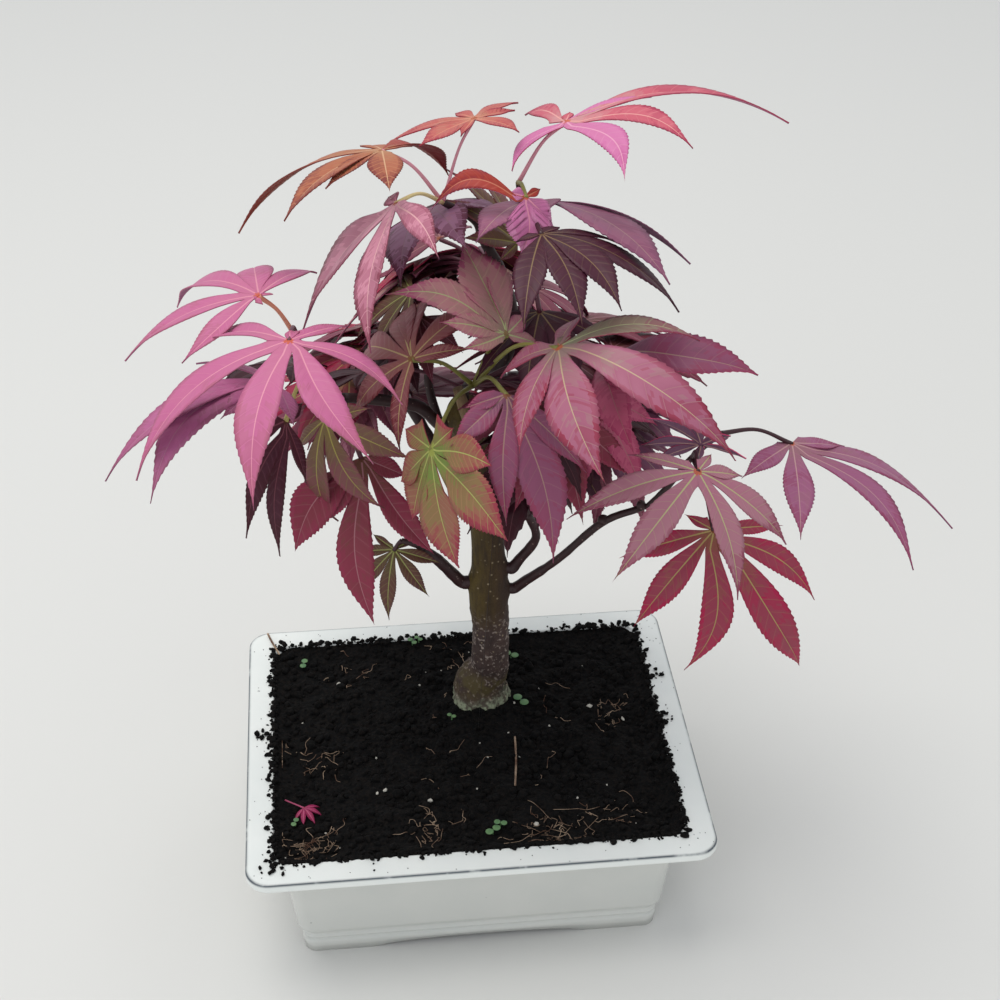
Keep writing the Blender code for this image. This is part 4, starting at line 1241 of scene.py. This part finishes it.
add_mass(
    "foliage_front", "leaf_mauve", 6,
    ((1, 16, 208, 1.8), (1, 16, 214, 1.8), (1, 14, 218, 1.7), (2, 8, 223, 1.6), (3, 0, 228, 1.3)),
    leaf_row(
        (13, -17, 258), 122, -53, 14, 43, 26, width=1.1, tint="rose", stalk="olive",
        trim={-2: (0, 0.45), -1: (16, 0.8), 0: (-6, 0.86, 0.03, 1.9), 1: (16, 1.14, -0.12),
              2: (-11, 0.83, -0.02), 3: (-28, 1.13, 0.03)},
    ),
    leaf_row(
        (-19, -10, 246), 115, -16, -37, 51, 76, tint="red_bronze", stalk="olive",
        trim={-1: (14, 1.22), 0: (-12, 0.92), 1: (-12, 1.05), 2: (-2, 1.02), 3: (10, 1.61)},
    ),
    leaf_row(
        (-15, -42, 230), 268, 49, 53, 43, 23, spread=0.9, width=1.65, tail=1.6, tint="green_red",
        inner=0.75, stalk="olive", sinus=0.4,
        trim={-3: (-16, 1.03), -2: (0, 0.7), -1: (-4, 0.7), 0: (2, 0.96, -0.01), 1: (5, 1.09, 0.06),
              2: (5, 0.88, 0.06), 3: (13, 0.7)},
    ),
    leaf_row(
        (26.5, -45, 268.6), 255, 6, 27, 63, 72, spread=1.1, width=1.2, tint="grey_magenta",
        other_tint="sage", other_lobes=(2, 3), spot=1.2, stalk="olive",
        trim={-3: (-54, 0.98, -0.03), -2: (-28, 0.69), -1: (13, 0.66, -0.02), 0: (13, 0.86, -0.02),
              1: (22, 1.29, -0.03, 0.8), 2: (28, 1.04, 0.05, 0.8), 3: (30, 0.3)},
    ),
    leaf_row(
        (11, -35, 245.5), 263, 33, -16, 52, 36, lobes=5, spread=0.75, width=0.95, tint="wine",
        stalk="olive",
        trim={-2: (-10, 0.4), -1: (-14, 0.56), 0: (6, 0.86, -0.05, 0.85), 1: (-2, 1.26, 0.03, 1.25),
              2: (1, 1)},
    ),
    leaf_row(
        (50, 0, 236), 342, -35, -17, 54, 57, lobes=5, width=1.15, tail=1.6, tint="cerise",
        other_tint="wine", other_lobes=(0,),
        trim={-2: (0, 1.43), -1: (-21, 0.87), 0: (2, 1.07, -0.18, 0.9, 38), 1: (7, 0.64)},
    ),
    leaf_row((44, -8, 228), 300, 30, 20, 42, 45, lobes=5, tint="cerise", trim={1: (0, 0.7), 2: (0, 0.3)}),
    leaf_row((30, -14, 226), 285, 38, 10, 44, 40, lobes=5, tint="crimson"),
)
add_mass(
    "foliage_top_left", "leaf_rust", 4,
    stem_beyond("leader", (6, 14.5, 284, 1.5), (0, 12, 290, 1.3), (-6, 9, 295, 1.1)),
    leaf_row(
        (-22.5, -9, 304.6), 190, 40, 8, 59, 26, lobes=5, tint="dusty_pink", stalk="pale", stalk_radius=0.6,
        trim={-2: (0, 0.15), -1: (-42, 0.2), 0: (-7, 0.96, -0.08, 2), 1: (18, 1.07, -0.04),
              2: (20, 0.97, 0.06, 0.8)},
    ),
    leaf_row(
        (-26, 3, 317.6), 158, 6, 9, 57, 49, width=1.1, tint="rust", stalk="blush", stalk_radius=0.6,
        other_tint="scarlet", other_lobes=(-2,),
        trim={-3: (0, 0.6), -2: (-23, 1.27, -0.01), -1: (-20, 0.4), 0: (3, 1.12, -0.04),
              1: (21, 0.83, -0.05), 2: (-6, 0.66, 0, 0.7), 3: (-1, 1.2, 0, 1.5)},
    ),
    leaf_row(
        (5, 13, 323), 155, 12, 1, 35, 24, spread=1.2, width=0.8, tint="rust_red", stalk="blush",
        stalk_radius=0.5,
        trim={-3: (0, 1, 0, 1.8), -2: (-15, 1, 0, 1.3), -1: (0, 0.5), 0: (-8, 1.09),
              1: (2, 0.65, -0.03, 2.3), 2: (0, 0.5), 3: (17, 1.4, 0.06, 2.2)},
    ),
    leaf_row((-10, 26, 285), 241, -14, 30, 47, 51, lobes=5, width=1.4, tint="slate"),
    leaf_row((20, 14, 276), 145, -55, 10, 36, 30, spread=0.8, tint="olive", stalk="olive"),
)
add_mass(
    "foliage_top_right", "leaf_pink", 4,
    (*root_on(leader, 262, 0, 1.4, 3), (22, 12, 276, 1.3), (21, 8, 288, 1.2), (19, 5, 303, 1.0)),
    leaf_row(
        (34, 3, 325), 355, -21, 3, 72, 46, width=0.85, tint="red", stalk="blush", stalk_radius=0.6,
        other_tint="rose_pink", other_lobes=(-3, -2, 1),
        trim={-3: (-33, 0.82, -0.22, 1.5), -2: (6, 0.73, 0.16, 0.9), -1: (4, 0.69, 0.17, 0.7),
              0: (10, 1.11, 0.06, 0.75), 1: (-22, 0.45, 0, 0.5), 2: (0, 0.12), 3: (0, 1.31, -0.03)},
    ),
    leaf_row(
        (20, -8, 304), 278, 50, -15, 19, 30, lobes=5, spread=1.1, width=1.9, tint="shaded_pink",
        stalk="olive", other_tint="scarlet", other_lobes=(-1, 2),
        trim={-2: (-30, 0.4), -1: (-50, 1.86, -0.25, 0.6), 0: (-8, 1, 0.1, 1.9), 1: (6, 0.8, 0, 1.2),
              2: (32, 0.5, 0, 0.6)},
    ),
    leaf_row(
        (24, -19, 296), 302, -8, -1, 54, 61, spread=0.95, tint="night", stalk="dark", stalk_from=-2,
        trim={-3: (0, 0.4), -2: (21, 1.08), -1: (14, 0.88, 0.03), 0: (2, 0.78, 0.05), 1: (7, 1.09, -0.04),
              2: (0, 0.8), 3: (0, 0.5)},
    ),
    leaf_row(
        (26, 14, 292), 314, -16, -20, 63, 42, lobes=5, width=1.2, tint="violet", stalk="dark",
        trim={-1: (0, 0.4), 0: (-1, 1.06, 0.02)},
    ),
)
add_mass(
    "foliage_right", "leaf_maroon", 4,
    stem_beyond("bough_right_long", (75, -4, 182, 1.2), (82, -9, 198, 1.1), (92, -8, 207, 1.0)),
    leaf_row(
        (75.5, -46, 217.5), 286, 24, -8, 56, 57, spread=1.1, width=0.85, tint="mauve_green", inner=0.7,
        spot=1.1, stalk="dark",
        trim={-3: (0, 1.06), -2: (-11, 1.18), -1: (-14, 0.97), 0: (8, 0.85, 0.01), 1: (13, 0.89, -0.02),
              2: (0, 0.45), 3: (0, 0.5)},
    ),
    leaf_row(
        (83, -17, 209), 178, -40, 54, 29, 26, spread=1.1, tint="berry", stalk="dark",
        trim={-1: (-11, 0.82), 0: (8, 1.01), 1: (0, 0.96), 3: (2, 1.46)},
    ),
    leaf_row(
        (86, -34, 183), 260, 44, 0, 60, 59, width=0.8, tint="maroon", inner=0.28, stalk="dark",
        trim={-3: (-3, 0.48), -2: (0, 0.84), -1: (-2, 0.88), 0: (-9, 0.98, 0.13), 1: (4, 1.42, -0.02),
              2: (-12, 1.13, 0.08), 3: (-16, 1.06)},
    ),
    leaf_row(
        (120.7, -2, 197), 310, 14, -9, 68, 24, lobes=5, spread=0.9, width=0.8, tint="mauve", stalk="dark",
        trim={-2: (-21, 0.64), -1: (-13, 0.75), 0: (2, 0.95, 0.17), 1: (8, 1.21, 0.1), 2: (0, 0.51)},
    ),
)
add_mass(
    "foliage_inner_right", "leaf_dark", 0,
    stem_beyond("bough_right_steep", (20, 7, 176, 1.4), (22, 5, 190, 1.2), (25, 3, 206, 1.0)),
    *spray_rows((24, 3, 213), 335, 3, 4, 14, 8, ("dark_maroon", "deep_maroon"), reach=36),
)
add_mass(
    "foliage_back_left", "leaf_maroon", 0,
    stem_beyond("bough_back_left", (-33, 51, 214, 1.4), (-32, 54, 220, 1.1)),
    *spray_rows((-22, 52, 202), 145, 9, 6, 20, 14, ("maroon", "dusty_pink", "magenta"), reach=48),
)
add_mass(
    "foliage_back_right", "leaf_mauve", 0,
    stem_beyond("bough_back_right", (49, 48, 204, 1.4), (50, 50, 210, 1.1)),
    *spray_rows((38, 48, 196), 35, 1, 6, 20, 14, ("magenta", "plum", "maroon"), reach=48),
)
add_mass(
    "foliage_back_top", "leaf_maroon", 0,
    (*root_on(leader, 240, 95, 1.7), (16, 32, 245, 1.5), (12, 38, 250, 1.2)),
    *spray_rows((8, 40, 247), 90, 6, 6, 24, 8, ("magenta", "rose", "maroon"), reach=46),
)
add_mass(
    "foliage_inner_left", "leaf_dark", 0,
    (*root_on_trunk(192, 150, 1.8), (-11, 27, 210, 1.6), (-11, 28, 224, 1.3), (-10, 30, 230, 1.1)),
    *spray_rows((-10, 28, 241), 165, 20, 5, 10, 9, ("dark_maroon", "deep_maroon", "bronze"), reach=33),
)

# The picture shows sky and table through and beside the crown at these places: across, down
# and radius, in pixels of the 1000 pixel square photograph. A shaded leaf that has a point in
# one of them is left out.
SKY_OPENINGS = np.array([
    (320, 215, 30), (300, 248, 20), (290, 297, 20), (335, 303, 18), (157, 367, 24), (138, 404, 18),
    (210, 469, 32), (259, 530, 14), (289, 483, 11), (314, 572, 26), (329, 613, 30), (412, 612, 24),
    (449, 607, 22), (428, 575, 11), (428, 421, 14), (445, 345, 7), (350, 188, 20), (415, 174, 16),
    (459, 151, 20), (491, 144, 24), (541, 166, 14), (581, 170, 32), (651, 141, 28), (631, 195, 20),
    (649, 216, 12), (700, 200, 30), (645, 296, 18), (711, 319, 22), (737, 334, 12), (752, 404, 26),
    (800, 400, 30), (720, 453, 10), (771, 485, 20), (552, 597, 28), (595, 562, 24), (617, 540, 12),
    (637, 580, 14), (669, 631, 22), (745, 645, 28), (808, 553, 16), (834, 512, 26), (480, 222, 7),
    (512, 262, 7), (255, 215, 50), (200, 300, 20),
], float)
PICTURE_SIZE = 1000
SENSOR_WIDTH = 36
FOCAL_PIXELS = CAMERA_LENS / SENSOR_WIDTH * PICTURE_SIZE
# The picture is divided into cells 5 pixels wide, with some to spare on the right and below.
CELL_SIZE = 5
CELLS_ACROSS = 240
FRONT_CLEARANCE = 2
SHOWN_SHARE = 0.03


def in_picture(points):
    """Where the camera sees these points, in pixels across and down, and how far away they are."""
    away = points - np.array(CAMERA_SPOT)
    depth = away @ ahead
    across = PICTURE_SIZE / 2 + FOCAL_PIXELS * (away @ picture_right) / depth
    down = PICTURE_SIZE / 2 - FOCAL_PIXELS * (away @ picture_up) / depth
    return across, down, depth


def picture_cells(across, down):
    """Numbers of the small square cells, row by row, that hold these places in the picture."""
    return (down // CELL_SIZE).astype(int) * CELLS_ACROSS + (across // CELL_SIZE).astype(int)


def is_hidden_leaf(points, farthest):
    """Whether a shaded leaf keeps clear of the openings and stays behind the large leaves.

    Farthest holds how far away the large leaves reach in each cell. At most a small share
    of the shaded leaf's points may lie nearer than that, by more than the clearance.
    """
    across, down, depth = in_picture(points)
    gap = np.hypot(across[:, None] - SKY_OPENINGS[:, 0], down[:, None] - SKY_OPENINGS[:, 1])
    if (gap < SKY_OPENINGS[:, 2]).any():
        return False
    in_front = depth < farthest[picture_cells(across, down)] - FRONT_CLEARANCE
    return float(in_front.mean()) < SHOWN_SHARE


# Shaded leaves inside the crown, on twigs too short to see: darker, smaller, flatter, and set
# out round each stem by a seeded rule, within the space of the mass that they belong to.
SHADED_LIFT = 22
SHADED_WIDTH = 1.25
for name, centre, outward, seed, count, radius, rise, tints, reach in (
    ("foliage_front", (22, 4, 236), 300, 31, 9, 22, 14, ("dark_maroon", "deep_maroon", "maroon"), 38),
    ("foliage_front", (-18, 8, 236), 215, 33, 8, 22, 14, ("dark_maroon", "bronze", "dark_purple"), 34),
    ("foliage_left", (-48, 8, 238), 200, 35, 8, 18, 12, ("dark_maroon", "deep_maroon", "olive"), 36),
    ("foliage_top_left", (0, 16, 280), 230, 37, 8, 18, 12, ("dark_purple", "slate", "dark_maroon"), 38),
    ("foliage_top_right", (30, 18, 272), 330, 39, 8, 20, 14, ("night", "dark_maroon", "plum"), 40),
    ("foliage_right", (74, 4, 204), 0, 41, 9, 24, 12, ("deep_maroon", "dark_maroon", "plum"), 42),
    ("foliage_inner_right", (28, 8, 210), 320, 43, 6, 18, 12, ("dark_maroon", "night"), 36),
    ("foliage_back_left", (-24, 46, 206), 140, 45, 10, 24, 16, ("magenta", "maroon", "deep_maroon"), 42),
    ("foliage_back_right", (40, 44, 200), 40, 47, 10, 24, 16, ("plum", "magenta", "deep_maroon"), 42),
    ("foliage_back_top", (10, 38, 250), 90, 49, 9, 22, 12, ("magenta", "deep_maroon"), 40),
):
    for row in spray_rows(centre, outward, seed, count, radius, rise, tints, reach):
        row["shaded"] = True
        row["dip"] -= SHADED_LIFT
        row["width"] = SHADED_WIDTH
        masses[name]["rows"].append(row)

# Stalks are round and smooth: olive in the light, pink or orange on the young top leaves, and
# nearly black in the shade. Stems have the boughs' bark.
STALK_CODES = {
    "olive": "84803f",
    "yellow": "a89a58",
    "orange": "d58a70",
    "pale": "d9c48c",
    "blush": "dd96a4",
    "dark": "3c1a22",
    "plum": "5a2838",
}
stalk_kinds = list(STALK_CODES)
stalk_finishes = [new_finish("stalk_" + kind, STALK_CODES[kind], 0.42) for kind in stalk_kinds]
twig_finishes = [bough_bark, *stalk_finishes]

# A leaf's grid is its rows along a lobe and its strips to each side of the rib. The large
# leaves come first, so that the shaded ones can be kept behind them.
LARGE_GRID = (46, 4)
SHADED_GRID = (16, 2)
FALLEN_GRID = (14, 2)
leaf_shells = {}
farthest = np.zeros(CELLS_ACROSS * CELLS_ACROSS)
for number, (name, mass) in enumerate(masses.items()):
    for order, row in enumerate(mass["rows"]):
        if not row["shaded"]:
            leaf_shells[name, order] = leaf_shell(row, *LARGE_GRID, 100 * number + order)
            if order < mass["seen"]:
                across, down, depth = in_picture(leaf_shells[name, order][0])
                np.maximum.at(farthest, picture_cells(across, down), depth)


STEM_SIDES = 12
STEM_STEPS = 6
STALK_SIDES = 8
STALK_STEPS = 8


def stalk_route(stem, row):
    """Leaf stalk: it leaves the nearest stem point, or a given one, arches and sinks into the hub."""
    hub = np.array(row["hub"], float)
    radius = row["stalk_radius"]
    ends = np.array([station[:3] for station in stem[-3:]])
    number = row["stalk_from"]
    if number is None:
        number = np.argmin(np.linalg.norm(ends - hub, axis=1))
    root = ends[number]
    span = hub - root
    middle = root + 0.5 * span + np.array([0, 0, 0.12 * np.linalg.norm(span)])
    stations = [(*root, 1.4 * radius), (*middle, radius), (*(hub - (0, 0, 0.4)), 1.3 * radius)]
    return smooth_route(stations, STALK_STEPS)


for number, (name, mass) in enumerate(masses.items()):
    shells = []
    finish_names = []
    flats = []
    stem_rings = limb_rings(smooth_route(mass["stem"], STEM_STEPS), STEM_SIDES, bough_swell)
    twig_shells = [closed_skin(stem_rings)]
    twig_parts = [np.full(len(twig_shells[0][1]), 0)]
    for order, row in enumerate(mass["rows"]):
        if row["shaded"]:
            leaf_shells[name, order] = leaf_shell(row, *SHADED_GRID, 100 * number + order)
            if not is_hidden_leaf(leaf_shells[name, order][0], farthest):
                continue
        points, faces, parts, flat = leaf_shells[name, order]
        shells.append((points, faces))
        tints = np.where(parts < OTHER_TINT, row["tint"], row["other_tint"])
        finish_names.append(np.char.add(np.char.add(tints, "|"), (parts % OTHER_TINT).astype(str)))
        flats.append(flat)
        stalk = closed_skin(limb_rings(stalk_route(mass["stem"], row), STALK_SIDES))
        twig_shells.append(stalk)
        twig_parts.append(np.full(len(stalk[1]), 1 + stalk_kinds.index(row["stalk"])))
    labels = np.concatenate(finish_names)
    used, finish_of = np.unique(labels, return_inverse=True)
    finishes = [leaf_finish(tint, int(part)) for tint, part in (label.split("|") for label in used)]
    side = name.removeprefix("foliage_")
    leaves = place_piece(
        "leaves_" + side, *join_shells(shells), finishes, finish_of.ravel(), np.concatenate(flats),
    )
    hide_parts(name)
    twigs = place_piece(
        "twigs_" + side, *join_shells(twig_shells), twig_finishes, np.concatenate(twig_parts),
    )


# Litter on the soil: one small fallen maple leaf, round-leaved seedlings, fine pale roots and
# dry twigs. They lie loose on the bed and are too slight to be solids of their own.

def on_soil(x, y, lift):
    """Point at this height over the soil."""
    return (x, y, float(soil_height(np.array(x, float), np.array(y, float))) + lift)


FALLEN_X = -67.6
FALLEN_Y = -34
fallen_row = leaf_row(
    on_soil(FALLEN_X, FALLEN_Y, 3.2), 300, -8, 5, 9, 55,
    lobes=5, tint="fallen", teeth=0, sinus=0.08, spot=0.3,
)
fallen_points, fallen_faces, fallen_parts, fallen_flat = leaf_shell(fallen_row, *FALLEN_GRID, 7)
fallen_route = smooth_route([
    (*on_soil(-75, -27.5, 0.8), 0.35),
    (*on_soil(-71, -31, 2.0), 0.3),
    (*on_soil(FALLEN_X, FALLEN_Y, 3.0), 0.4),
], 5)
fallen_stalk = closed_skin(limb_rings(fallen_route, 6))
fallen_parts = np.concatenate([fallen_parts, np.full(len(fallen_stalk[1]), RIB)])
fallen_flat = np.concatenate([fallen_flat, np.zeros(len(fallen_stalk[1]), bool)])
used, finish_of = np.unique(fallen_parts, return_inverse=True)
fallen = place_piece(
    "fallen_leaf", *join_shells([(fallen_points, fallen_faces), fallen_stalk]),
    [leaf_finish("fallen", int(part)) for part in used], finish_of.ravel(), fallen_flat,
)

seedling_green = new_finish("seedling_green", "4f7d58", 0.5)
# Seed leaves are fresh blue-green, a little yellower in soft patches 2 mm wide.
patch = noise(seedling_green, place_on(seedling_green), 500.0, 2.0)
link_surface(seedling_green, Base_Color=blend(seedling_green, patch, "37664a", "76985e"))
# Where each seedling stands, and the radius of its seed leaves.
SEEDLINGS = (
    (-66.6, 52.4, 1.4), (22.8, 49.5, 1.7), (23.7, 19.0, 1.9), (4.8, -52.8, 1.6), (8.0, -50.0, 1.3),
    (-71.2, -40.9, 1.1), (-19.3, 61.0, 1.2), (-16.5, 62.0, 1.0), (-6.0, 12.0, 1.0),
)
shells = []
for x, y, leaf_radius in SEEDLINGS:
    crown = on_soil(x, y, 2.4)
    stem = [(*on_soil(x, y, -0.5), 0.3), (*on_soil(x, y, 1.0), 0.28), (*crown, 0.25)]
    shells.append(closed_skin(limb_rings(smooth_route(stem, 4), 6)))
    turn = chance.uniform(0, np.pi)
    for side in (-1, 1):
        centre = np.array(crown) + side * leaf_radius * np.array([np.cos(turn), np.sin(turn), 0.12])
        shells.append(knot(centre, leaf_radius, 0.16))
seedlings = place_piece("soil_seedlings", *join_shells(shells), [seedling_green])

dry_root = new_finish("dry_root", "a08468", 0.85)
# Roots and twigs have dried to straw and brown, which change every few millimetres.
dried = ramp(dry_root, noise(dry_root, place_on(dry_root), 160.0, 4.0), 0.35, 0.65)
link_surface(dry_root, Base_Color=blend(dry_root, dried, "5c3d2c", "c4aa90"))
# Middle, number of roots and spread of each patch of fine roots.
ROOT_PATCHES = (
    ((-64, -52), 34, 4), ((-19, -49), 20, 4), ((28, -54), 34, 6), ((-60, -5), 12, 3), ((60, 12), 14, 4),
    ((-48, 44), 10, 6), ((-2, 54), 8, 4), ((-76, 0), 9, 3), ((48, -48), 12, 5), ((10, -10), 14, 22),
)
ROOT_RADIUS = 0.1
# Course and radius of each loose twig.
TWIGS = (
    ((19, -1), (18, -14), (16, -29), 0.4),
    ((-82, 72), (-80, 66), (-77, 59), 0.45),
)
shells = []
for (centre_x, centre_y), count, spread in ROOT_PATCHES:
    for index in range(count):
        start = np.array([chance.normal(centre_x, spread), chance.normal(centre_y, spread)])
        steps = chance.normal(0, 1.3, (5, 2)) + chance.normal(0, 0.9, 2)
        spots = np.clip(start + np.cumsum(steps, axis=0), (-BED_X, -BED_Y), (BED_X, BED_Y))
        rise = chance.uniform(0.2, 1.4, 5)
        route = [(*on_soil(x, y, lift), ROOT_RADIUS) for (x, y), lift in zip(spots, rise)]
        shells.append(closed_skin(limb_rings(smooth_route(route, 4), 5)))
for *spots, radius in TWIGS:
    route = [(*on_soil(x, y, 0.9), radius) for x, y in spots]
    shells.append(closed_skin(limb_rings(smooth_route(route, 10), 8, bough_swell)))
litter = place_piece("soil_litter", *join_shells(shells), [dry_root])
